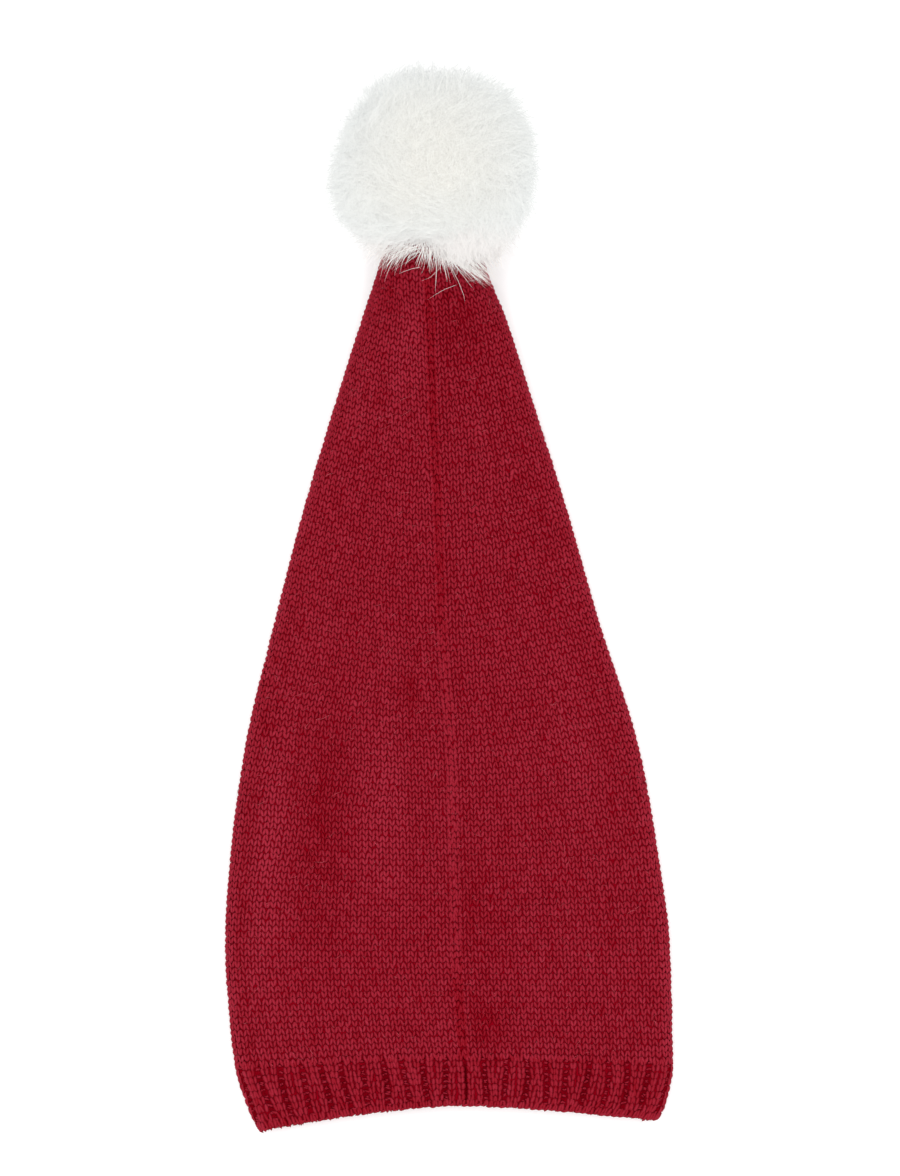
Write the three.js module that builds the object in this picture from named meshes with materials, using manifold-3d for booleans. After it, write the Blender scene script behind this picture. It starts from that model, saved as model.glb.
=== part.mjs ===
// Santa hat: a long knitted cone with a ribbed hem and a fur pompom, lying flat on a surface.
// Millimetres, +Z up. The hem is at -Y, the pompom at +Y, and the seam runs up the middle of the upper face.
// The origin is under the middle of the hat's whole length and width, at the height of the surface.

import * as THREE from 'three';
import { LoftGeometry } from 'three/addons/geometries/LoftGeometry.js';
import { mergeVertices } from 'three/addons/utils/BufferGeometryUtils.js';
import Module from 'manifold-3d';

// Driving dimensions of the knit

const HEM_Y = -251.2; // middle of the hem's edge
const WALL = 2.6; // thickness of the knit
const GAP = 0.3; // kept between two pieces
const BOW_POWER = 1.5; // how sharply a course bends up or down towards its ends
const RIB_HEIGHT = 24;
const RIB_COUNT = 44;
const RIB_DEPTH = 1.9; // of the furrows between the ribs
const RIB_FADE = 7; // length over which a furrow runs out into the crown
const SLIT_DEPTH = 2.4; // of the seam where it parts two ribs
const INNER_RELIEF = 0.4; // share of the furrows' depth that shows on the inner face
const EDGE_HEIGHT = 2.5; // of the plain edge below the ribs
const EDGE_ROUND = 0.9; // how far that edge is rounded over
const SEAM_HALF_WIDTH = 1.8;
const SEAM_RIDGE = 0.8; // height of the seam's ridge on the lower crown
const SEAM_GROOVE = 0.6; // depth of the seam's groove on the upper crown
const SEAM_RIDGE_RUN = { start: 40, full: 75, fading: 250, end: 300 }; // distances along the hat
const SEAM_GROOVE_RUN = { start: 280, full: 320, fading: 395, end: 415 };

// How finely the crown's mesh is divided: along it, across half its face, round a rolled side and underneath

const CROWN_STEPS = 22;
const FACE_STEPS = 9;
const TURN_STEPS = 6;
const UNDER_STEPS = 10;

// The flat-lying tube, a row for each section. along: from the hem's middle up the hat's middle line.
// left, right: where the row ends, in X. bow: how far the ends lie above the row's middle, in Y.
// skew: how far the right end lies above the left one. loft: height of the rolled side edges.
// dome: how far the upper face swells above them. lift: height of the underside over the surface.
// seam: offset of the seam from the row's middle.

const SECTIONS = [
  { along: 0, left: -93.9, right: 103.0, bow: -10.4, skew: 5.4, loft: 12.0, dome: 3, lift: 0, seam: 3.5 },
  { along: 6, left: -98.5, right: 107.2, bow: -8.1, skew: 4.3, loft: 12.5, dome: 4, lift: 0, seam: 4.3 },
  { along: 23, left: -105.6, right: 110.9, bow: -4.1, skew: 2.3, loft: 13.0, dome: 5, lift: 0, seam: 5.0 },
  { along: 50, left: -109.2, right: 110.4, bow: -1.5, skew: 1.2, loft: 13.5, dome: 6, lift: 0, seam: 4.6 },
  { along: 80, left: -110.9, right: 109.3, bow: 1.0, skew: 0, loft: 14.0, dome: 7, lift: 0, seam: 4.4 },
  { along: 120, left: -108.3, right: 103.8, bow: 3.5, skew: 0, loft: 14.0, dome: 7, lift: 0, seam: 5.0 },
  { along: 170, left: -101.3, right: 94.4, bow: 6.0, skew: 0, loft: 14.5, dome: 7, lift: 0, seam: 4.6 },
  { along: 230, left: -86.9, right: 75.0, bow: 8.0, skew: 0, loft: 15.0, dome: 7, lift: 0, seam: 3.0 },
  { along: 290, left: -71.3, right: 57.6, bow: 8.0, skew: 0, loft: 17.0, dome: 6, lift: 0, seam: 1.6 },
  { along: 345, left: -55.1, right: 40.5, bow: 7.0, skew: 0, loft: 21.0, dome: 4, lift: 0, seam: -0.6 },
  { along: 385, left: -42.7, right: 27.8, bow: 6.0, skew: 0, loft: 27.0, dome: 2, lift: 1, seam: -2.0 },
  { along: 405, left: -36.3, right: 20.0, bow: 5.0, skew: 0, loft: 28.5, dome: 1, lift: 5.5, seam: -2.2 },
  { along: 422, left: -31.0, right: 14.5, bow: 3.0, skew: 0, loft: 24.0, dome: 0, lift: 15.5, seam: -1.5 },
  { along: 436, left: -17.0, right: 0.0, bow: 0.0, skew: 0, loft: 11.0, dome: 0, lift: 25, seam: -0.5 },
];
const COLUMNS = ['left', 'right', 'bow', 'skew', 'loft', 'dome', 'lift', 'seam'];
const CROWN_END = SECTIONS.at(-1).along;

// Soft folds and dents of the upper face. across: -1 at the left end of a row to 1 at its right end.
// halfAcross, halfAlong: reach each way. height: above or, if negative, below the smooth face.

const FOLDS = [
  { across: -0.83, along: 120, halfAcross: 0.09, halfAlong: 60, height: 2.0 },
  { across: -0.58, along: 140, halfAcross: 0.1, halfAlong: 50, height: -1.6 },
  { across: -0.3, along: 150, halfAcross: 0.13, halfAlong: 45, height: 1.6 },
  { across: -0.17, along: 206, halfAcross: 0.07, halfAlong: 14, height: -1.4 },
  { across: 0.17, along: 40, halfAcross: 0.09, halfAlong: 15, height: -2.0 },
  { across: -0.32, along: 375, halfAcross: 0.18, halfAlong: 26, height: 1.4 },
  { across: 0.22, along: 384, halfAcross: 0.16, halfAlong: 24, height: -2.4 },
];

// Driving dimensions of the pompom and its tie

const POMPOM_CENTRE = new THREE.Vector3(-8.2, 214.7, 46);
const POMPOM_WIDTH_SHARE = 1.03; // the ball is a little wider in X than it is long in Y
const HEAD_RADIUS = 38;
const HEAD_DETAIL = 1; // times that each face of the head's round form is divided
const LOCK_COUNT = 76;
const LOCK_ROOT = 30; // from the ball's centre to the foot of a lock
const LOCK_REACH = 51; // from the ball's centre to the tip of a lock
const LOCK_SCATTER = 2; // how much the locks differ in length
const LOCK_LEAN = 0.22; // how far a lock leans to one side, as a share of its length
const LEAN_STRIDE = 29; // each lock leans towards the lock that comes this many places on
const LOCK_SIDES = 5;
const LOCK_SEED = 7;
const COLLAR_ANGLE = Math.PI / 3; // locks this near to the crown's direction lie over the crown
const COLLAR_EXTRA = 10; // how much longer those locks are
const POMPOM_CLEARANCE = 0.4; // between the fur and the crown
const TIP_STEPS = 6; // rows of the crown that the pompom's pocket takes in
const TIE_RADIUS = 2.5;
const KNOT_RADIUS = 4;
const KNOT_LENGTH = 6;
const KNOT_END_SHARE = 0.7; // the knot's width at its end, as a share of its full width
const KNOT_BACK = 14; // from the crown's end back to the knot's far side
const TIE_BITE = 8; // how far the tie runs into the pompom's head
const TIE_SIDES = 12;

// Half the width of a lock at shares of its length, from its foot to its tip

const LOCK_PROFILE = [
  { share: 0, radius: 0 },
  { share: 0.35, radius: 9.2 },
  { share: 0.72, radius: 6.4 },
  { share: 1, radius: 0 },
];

const KNIT_RED = { color: 0x861523, roughness: 0.95, metalness: 0 };
const FUR_WHITE = { color: 0xecedea, roughness: 0.9, metalness: 0 };
const THREAD_WHITE = { color: 0xe4e2dc, roughness: 0.8, metalness: 0 };

const wasm = await Module();
wasm.setup();

// Smooth values between the rows of the section table

function secant(column, row) {
  const [start, end] = [SECTIONS[row], SECTIONS[row + 1]];
  return (end[column] - start[column]) / (end.along - start.along);
}

function slope(column, row) {
  const before = secant(column, Math.max(row - 1, 0));
  const after = secant(column, Math.min(row, SECTIONS.length - 2));
  return before * after > 0 ? (2 * before * after) / (before + after) : 0;
}

function columnAt(column, along) {
  const lastSpan = SECTIONS.length - 2;
  const row = Math.max(SECTIONS.findLastIndex((section, k) => k <= lastSpan && section.along <= along), 0);
  const [start, end] = [SECTIONS[row], SECTIONS[row + 1]];
  const span = end.along - start.along;
  const t = (along - start.along) / span;
  const blend = (3 - 2 * t) * t * t;
  const bend = (1 - t) * slope(column, row) - t * slope(column, row + 1);
  return start[column] * (1 - blend) + end[column] * blend + span * t * (1 - t) * bend;
}

function sectionAt(along) {
  const section = { along };
  for (const column of COLUMNS) section[column] = columnAt(column, along);
  section.radius = section.loft / 2;
  section.middle = (section.left + section.right) / 2;
  section.halfWidth = (section.right - section.left) / 2;
  section.flat = section.halfWidth - section.radius;
  section.turn = Math.PI * section.radius;
  section.girth = 4 * section.flat + 2 * section.turn;
  return section;
}

// A point of the tube. arc: distance round the section from the seam, to the right over the upper face.

function foldHeight(across, along) {
  return FOLDS.reduce((sum, fold) => {
    const side = (across - fold.across) / fold.halfAcross;
    const ahead = (along - fold.along) / fold.halfAlong;
    return sum + fold.height * Math.exp(-side * side - ahead * ahead);
  }, 0);
}

function tubePoint(section, arc, inset) {
  const { flat, radius, turn, girth, halfWidth } = section;
  const path = THREE.MathUtils.euclideanModulo(arc + section.seam + flat, girth);
  let hubX = -flat;
  let angle = Math.PI + (path - 4 * flat - turn) / radius;
  if (path < 2 * flat) {
    hubX = path - flat;
    angle = 0;
  } else if (path < 2 * flat + turn) {
    hubX = flat;
    angle = (path - 2 * flat) / radius;
  } else if (path < 4 * flat + turn) {
    hubX = 3 * flat + turn - path;
    angle = Math.PI;
  }
  const reach = radius - inset;
  const sideX = hubX + reach * Math.sin(angle);
  const across = sideX / halfWidth;
  const swell = section.dome * (1 - across * across) + foldHeight(across, section.along);
  const rise = section.bow + (section.skew / 2) * Math.sign(across);
  return new THREE.Vector3(
    section.middle + sideX,
    HEM_Y + section.along + rise * Math.abs(across) ** BOW_POWER,
    section.lift + radius + reach * Math.cos(angle) + swell * Math.max(Math.cos(angle), 0),
  );
}

// Meshes and solids

function welded(geometry) {
  const bare = new THREE.BufferGeometry().copy(geometry);
  bare.deleteAttribute('normal');
  bare.deleteAttribute('uv');
  const merged = mergeVertices(bare);
  const corners = merged.getIndex().array;
  const kept = [];
  for (let k = 0; k < corners.length; k += 3) {
    const [a, b, c] = corners.subarray(k, k + 3);
    if (a !== b && b !== c && c !== a) kept.push(a, b, c);
  }
  merged.setIndex(kept);
  merged.computeVertexNormals();
  return merged;
}

function solidOf(geometry) {
  const { attributes, index } = welded(geometry);
  const vertProperties = attributes.position.array;
  const triVerts = Uint32Array.from(index.array);
  return new wasm.Manifold(new wasm.Mesh({ numProp: 3, vertProperties, triVerts }));
}

function geometryOf(solid) {
  const { vertProperties, triVerts } = solid.getMesh();
  const geometry = new THREE.BufferGeometry();
  geometry.setAttribute('position', new THREE.BufferAttribute(Float32Array.from(vertProperties), 3));
  geometry.setIndex(Array.from(triVerts));
  geometry.computeVertexNormals();
  return geometry;
}

function piece(name, geometry, finish) {
  const mesh = new THREE.Mesh(geometry, new THREE.MeshStandardMaterial(finish));
  mesh.name = name;
  return mesh;
}

// A hollow wall: the rings of its outer face, then those of its inner face, and round to the first again

function wallOf(rings) {
  return welded(new LoftGeometry([...rings, rings[0]]));
}

// The crown: the stocking-stitch cone with its seam

function runShare(along, { start, full, fading, end }) {
  const { smoothstep } = THREE.MathUtils;
  return smoothstep(along, start, full) * (1 - smoothstep(along, fading, end));
}

function seamRelief(along) {
  return SEAM_RIDGE * runShare(along, SEAM_RIDGE_RUN) - SEAM_GROOVE * runShare(along, SEAM_GROOVE_RUN);
}

function crownArcs({ flat, turn, seam, girth }) {
  const corners = [
    { arc: 0, steps: 1 },
    { arc: SEAM_HALF_WIDTH, steps: FACE_STEPS },
    { arc: flat - seam, steps: TURN_STEPS },
    { arc: flat - seam + turn, steps: UNDER_STEPS },
    { arc: 3 * flat - seam + turn, steps: TURN_STEPS },
    { arc: 3 * flat - seam + 2 * turn, steps: FACE_STEPS },
    { arc: girth - SEAM_HALF_WIDTH, steps: 1 },
    { arc: girth, steps: 0 },
  ];
  return corners.flatMap(({ arc, steps }, k) =>
    Array.from({ length: steps }, (_, step) => THREE.MathUtils.lerp(arc, corners[k + 1].arc, step / steps)),
  );
}

function crownRing(along, inset) {
  const section = sectionAt(along);
  return crownArcs(section).map((arc) =>
    tubePoint(section, arc, arc === 0 ? inset - seamRelief(along) : inset),
  );
}

function crownRows() {
  const start = RIB_HEIGHT + GAP;
  return Array.from({ length: CROWN_STEPS + 1 }, (_, k) =>
    THREE.MathUtils.lerp(start, CROWN_END, k / CROWN_STEPS),
  );
}

function crownGeometry() {
  const outer = crownRows().map((along) => crownRing(along, 0));
  const inner = crownRows().map((along) => crownRing(along, WALL));
  return wallOf([...outer, ...inner.reverse()]);
}

// The ribbed hem: two knit columns stand as a rib, and one sinks as a furrow

const RIB_POINTS = [
  { share: 0, depth: 1 },
  { share: 0.2, depth: 0.12 },
  { share: 0.5, depth: 0 },
  { share: 0.8, depth: 0.12 },
];

const BAND_ROWS = [
  { along: 0, inset: EDGE_ROUND, relief: 1 },
  { along: EDGE_HEIGHT, inset: 0, relief: 1 },
  { along: (EDGE_HEIGHT + RIB_HEIGHT - RIB_FADE) / 2, inset: 0, relief: 1 },
  { along: RIB_HEIGHT - RIB_FADE, inset: 0, relief: 1 },
  { along: RIB_HEIGHT, inset: 0, relief: 0 },
  { along: RIB_HEIGHT, inset: WALL, relief: 0 },
  { along: RIB_HEIGHT - RIB_FADE, inset: WALL, relief: INNER_RELIEF },
  { along: 0, inset: WALL - EDGE_ROUND / 2, relief: INNER_RELIEF },
];

function bandRing({ along, inset, relief }) {
  const section = sectionAt(along);
  const ring = [];
  for (let rib = 0; rib < RIB_COUNT; rib += 1) {
    for (const { share, depth } of RIB_POINTS) {
      const arc = (section.girth * (rib + share)) / RIB_COUNT;
      const furrow = arc === 0 ? SLIT_DEPTH : RIB_DEPTH;
      ring.push(tubePoint(section, arc, inset + furrow * depth * relief));
    }
  }
  return ring;
}

function bandGeometry() {
  return wallOf(BAND_ROWS.map(bandRing));
}

// The tie: a knot inside the crown's drawn-in tip and a shank that runs on into the pompom

function tieGeometry(clearance) {
  const tip = sectionAt(CROWN_END);
  const knotStart = -KNOT_BACK - clearance;
  const knotEnd = knotStart + KNOT_LENGTH + 2 * clearance;
  const knotRadius = KNOT_RADIUS + clearance;
  const shankRadius = TIE_RADIUS + clearance;
  const profile = [
    new THREE.Vector2(0, knotStart),
    new THREE.Vector2(KNOT_END_SHARE * knotRadius, knotStart),
    new THREE.Vector2(knotRadius, (knotStart + knotEnd) / 2),
    new THREE.Vector2(shankRadius, knotEnd),
    new THREE.Vector2(shankRadius, TIE_BITE + clearance),
    new THREE.Vector2(0, TIE_BITE + clearance),
  ];
  const shank = new THREE.LatheGeometry(profile, TIE_SIDES);
  return shank.translate(tip.middle, HEM_Y + CROWN_END, tip.lift + tip.radius);
}

// The pompom: locks of long fur on a round head

function lockDirection(k) {
  const goldenTurn = Math.PI * (3 - Math.sqrt(5));
  const height = 1 - (2 * k + 1) / LOCK_COUNT;
  const ring = Math.sqrt(1 - height * height);
  return new THREE.Vector3(ring * Math.cos(goldenTurn * k), ring * Math.sin(goldenTurn * k), height);
}

function lockGeometry(k) {
  const direction = lockDirection(k);
  const towardsCrown = direction.angleTo(new THREE.Vector3(0, -1, 0));
  const collar = COLLAR_EXTRA * (1 - THREE.MathUtils.smoothstep(towardsCrown, 0, COLLAR_ANGLE));
  const scatter = LOCK_SCATTER * (THREE.MathUtils.seededRandom(LOCK_SEED + k) - 0.5);
  const length = LOCK_REACH - LOCK_ROOT + collar + scatter;
  const profile = LOCK_PROFILE.map(({ share, radius }) => new THREE.Vector2(radius, share * length));
  const lock = new THREE.LatheGeometry(profile, LOCK_SIDES);
  const sideways = lockDirection((k * LEAN_STRIDE) % LOCK_COUNT).projectOnPlane(direction);
  const leaning = direction.clone().addScaledVector(sideways, LOCK_LEAN).normalize();
  const turn = new THREE.Quaternion().setFromUnitVectors(new THREE.Vector3(0, 1, 0), leaning);
  return lock.applyQuaternion(turn).translate(...direction.multiplyScalar(LOCK_ROOT));
}

function pompomGeometry() {
  const head = new THREE.IcosahedronGeometry(HEAD_RADIUS, HEAD_DETAIL);
  const parts = [head, ...Array.from({ length: LOCK_COUNT }, (_, k) => lockGeometry(k))];
  for (const part of parts) part.scale(POMPOM_WIDTH_SHARE, 1, 1).translate(...POMPOM_CENTRE);

  const room = 4 * LOCK_REACH;
  const aboveSurface = new THREE.BoxGeometry(room, room, room);
  aboveSurface.translate(POMPOM_CENTRE.x, POMPOM_CENTRE.y, room / 2);

  const tipRows = crownRows().slice(-TIP_STEPS);
  const tipRings = tipRows.map((along) => crownRing(along, -POMPOM_CLEARANCE));
  const ahead = new THREE.Vector3(0, POMPOM_CLEARANCE, 0);
  const lastRing = tipRings.at(-1).map((point) => point.clone().add(ahead));
  const tip = new LoftGeometry([...tipRings, lastRing], { capStart: true, capEnd: true });

  const ball = wasm.Manifold.union(parts.map(solidOf)).intersect(solidOf(aboveSurface));
  const seated = ball.subtract(solidOf(tip)).subtract(solidOf(tieGeometry(GAP)));
  const bodies = seated.decompose().sort((a, b) => b.volume() - a.volume());
  return geometryOf(bodies[0]);
}

const hat = new THREE.Group();
hat.add(piece('crown', crownGeometry(), KNIT_RED));
hat.add(piece('rib_band', bandGeometry(), KNIT_RED));
hat.add(piece('pompom', pompomGeometry(), FUR_WHITE));
hat.add(piece('pompom_tie', welded(tieGeometry(0)), THREAD_WHITE));

export default hat;
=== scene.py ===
"""Santa hat: knitted stitches, ribbed hem, seam and fur pompom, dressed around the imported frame.

Tables and fields are in millimetres, and meshes are scaled to metres as they are made. The hat lies
flat with its hem at -Y, its pompom at +Y and its seam up the middle of the upper face.
"""

import logging
import math
from collections.abc import Callable
from dataclasses import dataclass, field
from enum import Enum

import bmesh
import bpy
import numpy as np
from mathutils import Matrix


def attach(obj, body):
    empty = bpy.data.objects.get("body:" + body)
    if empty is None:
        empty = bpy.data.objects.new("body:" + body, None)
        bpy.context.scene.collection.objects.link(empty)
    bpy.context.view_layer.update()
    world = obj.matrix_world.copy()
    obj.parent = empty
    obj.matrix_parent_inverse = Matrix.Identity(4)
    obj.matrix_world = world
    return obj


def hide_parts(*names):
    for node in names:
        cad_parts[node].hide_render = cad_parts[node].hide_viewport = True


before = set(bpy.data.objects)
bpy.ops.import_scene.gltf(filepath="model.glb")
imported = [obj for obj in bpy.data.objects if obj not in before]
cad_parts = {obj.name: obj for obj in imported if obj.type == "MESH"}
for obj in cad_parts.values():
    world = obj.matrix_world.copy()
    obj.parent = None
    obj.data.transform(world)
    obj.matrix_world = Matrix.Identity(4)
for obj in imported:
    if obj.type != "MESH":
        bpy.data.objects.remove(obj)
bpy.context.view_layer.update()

Array = np.ndarray
Pair = tuple[float, float]
Triple = tuple[float, float, float]
Colour = Triple

MM = 0.001
BODY = "root"
BAKE_MAP = "OFBake"
YARN_MAP = "Yarn"
GOLDEN_SHARE = (math.sqrt(5) - 1) / 2
TINY = 1e-9
FULL_TURN = 360.0

log = logging.getLogger("santa_hat")


class Slot(Enum):
    """The record's material slots that the dressed pieces stand for."""

    KNIT = "knit_red"
    FUR = "fur_white"


class Operation(Enum):
    """What a Math node does."""

    ADD = "ADD"
    SUBTRACT = "SUBTRACT"
    MULTIPLY = "MULTIPLY"


class BandWay(Enum):
    """The way that bands follow each other."""

    SLANTING = "DIAGONAL"
    UP_THE_HAT = "Y"


def smoothstep(low: float, high: float, value: Array) -> Array:
    """Zero below low, one above high and a smooth rise between them."""
    t = np.clip((value - low) / (high - low), 0, 1)
    return t * t * (3 - 2 * t)


def unit(vectors: Array) -> Array:
    """Vectors of length one, along the last axis."""
    lengths = np.linalg.norm(vectors, axis=-1, keepdims=True)
    return vectors / np.maximum(lengths, TINY)


def table(rows: tuple, name: str) -> Array:
    """One column of a table, as numbers."""
    return np.array([getattr(row, name) for row in rows], float)


# Shader maths

class Value:
    """A number-valued socket that takes part in Python arithmetic by adding Math nodes."""

    def __init__(self, shader: "Shader", socket: bpy.types.NodeSocket) -> None:
        """Keeps the socket and the shader that it belongs to."""
        self.shader = shader
        self.socket = socket

    def _math(self, operation: Operation, first: "Value | float", second: "Value | float") -> "Value":
        """Adds one Math node.

        Args:
            operation: What the node does.
            first: Its first operand.
            second: Its second operand.

        Returns:
            The node's result.
        """
        settings = {"operation": operation.value}
        node = self.shader.node("ShaderNodeMath", settings, {0: first, 1: second})
        return Value(self.shader, node.outputs[0])

    def __add__(self, other: "Value | float") -> "Value":
        """self + other."""
        return self._math(Operation.ADD, self, other)

    def __radd__(self, other: float) -> "Value":
        """other + self."""
        return self._math(Operation.ADD, other, self)

    def __sub__(self, other: "Value | float") -> "Value":
        """self - other."""
        return self._math(Operation.SUBTRACT, self, other)

    def __rsub__(self, other: float) -> "Value":
        """other - self."""
        return self._math(Operation.SUBTRACT, other, self)

    def __mul__(self, other: "Value | float") -> "Value":
        """self * other."""
        return self._math(Operation.MULTIPLY, self, other)

    def __rmul__(self, other: float) -> "Value":
        """other * self."""
        return self._math(Operation.MULTIPLY, other, self)


Link = Value | bpy.types.NodeSocket | float | tuple


class Shader:
    """One material's node tree and its Principled surface."""

    # The Mix node's numbered sockets for colours
    FIRST_COLOUR = 6
    SECOND_COLOUR = 7
    MIXED_COLOUR = 2

    def __init__(self, name: str) -> None:
        """Starts a material of that name with an empty tree.

        Args:
            name: The material's name.
        """
        self.material = bpy.data.materials.new(name)
        self.material.use_nodes = True
        self.tree = self.material.node_tree
        self.tree.nodes.clear()

    def node(self, kind: str, settings: dict | None = None, inputs: dict | None = None) -> bpy.types.Node:
        """Adds any node.

        Args:
            kind: The node's type.
            settings: Attributes of the node, set first.
            inputs: A value or link for each named or numbered input socket.

        Returns:
            The new node.
        """
        node = self.tree.nodes.new(kind)
        for name, setting in (settings or {}).items():
            setattr(node, name, setting)
        for key, link in (inputs or {}).items():
            socket = link.socket if isinstance(link, Value) else link
            if isinstance(socket, bpy.types.NodeSocket):
                self.tree.links.new(socket, node.inputs[key])
            else:
                node.inputs[key].default_value = socket
        return node

    def attribute(self, name: str) -> Value:
        """A number stored on the mesh's points."""
        return Value(self, self.node("ShaderNodeAttribute", {"attribute_name": name}).outputs["Fac"])

    def place(self) -> bpy.types.NodeSocket:
        """Positions on the object, in metres."""
        return self.node("ShaderNodeTexCoord").outputs["Object"]

    def yarn_place(self, scale: Triple) -> bpy.types.NodeSocket:
        """Positions round and along a strand of yarn, or over a cloth, stretched along each axis.

        Args:
            scale: The stretch for each axis.

        Returns:
            The stretched positions.
        """
        spot = self.node("ShaderNodeUVMap", {"uv_map": YARN_MAP}).outputs["UV"]
        settings = {"operation": Operation.MULTIPLY.value}
        return self.node("ShaderNodeVectorMath", settings, {0: spot, 1: scale}).outputs["Vector"]

    def noise(self, vector: bpy.types.NodeSocket, scale: float) -> Value:
        """Soft random values from zero to one at a scale."""
        node = self.node("ShaderNodeTexNoise", None, {"Vector": vector, "Scale": scale})
        return Value(self, node.outputs["Fac"])

    def bands(self, vector: bpy.types.NodeSocket, way: BandWay, scale: float, distortion: float) -> Value:
        """Soft bands from zero to one.

        Args:
            vector: Where the bands are read.
            way: The way that they follow each other.
            scale: Their scale.
            distortion: How much they wander.

        Returns:
            The bands' value.
        """
        settings = {"wave_type": "BANDS", "bands_direction": way.value, "wave_profile": "SIN"}
        inputs = {"Vector": vector, "Scale": scale, "Distortion": distortion}
        return Value(self, self.node("ShaderNodeTexWave", settings, inputs).outputs["Fac"])

    def mix(self, factor: Link, first: Link, second: Link) -> bpy.types.NodeSocket:
        """Mixes two colours.

        Args:
            factor: Zero for the first colour, one for the second.
            first: A colour.
            second: A colour.

        Returns:
            The mixed colour.
        """
        first, second = ((*c, 1.0) if isinstance(c, tuple) else c for c in (first, second))
        settings = {"data_type": "RGBA", "clamp_factor": True}
        inputs = {"Factor": factor, self.FIRST_COLOUR: first, self.SECOND_COLOUR: second}
        return self.node("ShaderNodeMix", settings, inputs).outputs[self.MIXED_COLOUR]

    def bump(self, height: Value, strength: float, depth: float) -> bpy.types.NodeSocket:
        """A normal tilted by a height from zero to one, which reaches depth millimetres."""
        inputs = {"Height": height, "Strength": strength, "Distance": depth * MM}
        return self.node("ShaderNodeBump", None, inputs).outputs["Normal"]

    def surface(self, inputs: dict) -> bpy.types.Material:
        """Ends the tree in a Principled surface.

        Args:
            inputs: A value or link for each of its sockets.

        Returns:
            The finished material.
        """
        principled = self.node("ShaderNodeBsdfPrincipled", None, inputs)
        self.node("ShaderNodeOutputMaterial", None, {"Surface": principled.outputs["BSDF"]})
        return self.material


# Finishes

@dataclass(frozen=True)
class YarnFinish:
    """Soft brushed yarn: mottled, matt, twisted and a little fuzzy.

    Each weight says how much a stitch's own tone, the painted highlight along the top of its leg, its
    fibres, its mottle or the patches that it lies in lighten the yarn, and tone_drop darkens it all.
    """

    name: str
    deep: Colour
    bright: Colour
    tone_weight: float = 0.8
    painted_highlight_weight: float = 0.32
    fibre_weight: float = 0.4
    mottle_weight: float = 0.6
    patch_weight: float = 0.16
    tone_drop: float = 0.64
    fibre_stretch: Triple = (7.0, 1.3, 1.0)
    fibre_scale: float = 1.6
    mottle_scale: float = 1300.0
    patch_scale: float = 30.0
    ply_stretch: Triple = (2.0, 0.55, 0.0)
    ply_scale: float = 0.32
    ply_wander: float = 0.6
    ply_height: float = 0.7
    fibre_height: float = 0.5
    roughness: float = 0.55
    roughness_spread: float = 0.2
    shine: float = 0.03
    bump_strength: float = 0.5
    bump_depth: float = 0.35

    def material(self) -> bpy.types.Material:
        """The yarn, which reads each stitch's own tone and a painted highlight along the top of each leg.

        Returns:
            The material.
        """
        shader = Shader(self.name)
        fibre = shader.noise(shader.yarn_place(self.fibre_stretch), self.fibre_scale)
        mottle = shader.noise(shader.place(), self.mottle_scale)
        patch = shader.noise(shader.place(), self.patch_scale)
        # The painted highlight lightens the top of each leg.
        own = shader.attribute("tone") * self.tone_weight + shader.attribute("painted_highlight") * self.painted_highlight_weight
        grain = fibre * self.fibre_weight + mottle * self.mottle_weight + patch * self.patch_weight
        spot = shader.yarn_place(self.ply_stretch)
        ply = shader.bands(spot, BandWay.SLANTING, self.ply_scale, self.ply_wander)
        twist = ply * self.ply_height + fibre * self.fibre_height
        return shader.surface({
            "Base Color": shader.mix(own + grain - self.tone_drop, self.deep, self.bright),
            "Roughness": mottle * self.roughness_spread + self.roughness,
            "Specular IOR Level": self.shine,
            "Normal": shader.bump(twist, self.bump_strength, self.bump_depth),
        })


@dataclass(frozen=True)
class BackingFinish:
    """The knit between and behind the stitches: deep red, with purl bumps, and painted shade in the
    furrows.
    """

    name: str
    deep: Colour
    bright: Colour
    shade: Colour
    bump_width: float = 3.4
    bump_height: float = 2.8
    bump_scatter: float = 0.25
    bead_steepness: float = 1.3
    bead_weight: float = 0.7
    mottle_weight: float = 0.4
    tone_drop: float = 0.15
    mottle_scale: float = 500.0
    mottle_height: float = 0.3
    roughness: float = 0.85
    roughness_spread: float = 0.1
    bump_strength: float = 0.8
    bump_depth: float = 0.9

    def material(self) -> bpy.types.Material:
        """The backing, with a grid of purl bumps laid out by its own map.

        Returns:
            The material.
        """
        shader = Shader(self.name)
        cells = shader.yarn_place((1 / self.bump_width, 1 / self.bump_height, 0.0))
        settings = {"voronoi_dimensions": "2D", "feature": "SMOOTH_F1"}
        inputs = {"Vector": cells, "Randomness": self.bump_scatter}
        purl = shader.node("ShaderNodeTexVoronoi", settings, inputs)
        bead = 1 - Value(shader, purl.outputs["Distance"]) * self.bead_steepness
        mottle = shader.noise(shader.place(), self.mottle_scale)
        tone = bead * self.bead_weight + mottle * self.mottle_weight - self.tone_drop
        face = shader.mix(tone, self.deep, self.bright)
        height = bead + mottle * self.mottle_height
        return shader.surface({
            # Painted shade in the rib's furrows.
            "Base Color": shader.mix(shader.attribute("furrow"), face, self.shade),
            "Roughness": mottle * self.roughness_spread + self.roughness,
            "Specular IOR Level": 0.0,
            "Normal": shader.bump(height, self.bump_strength, self.bump_depth),
        })


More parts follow.
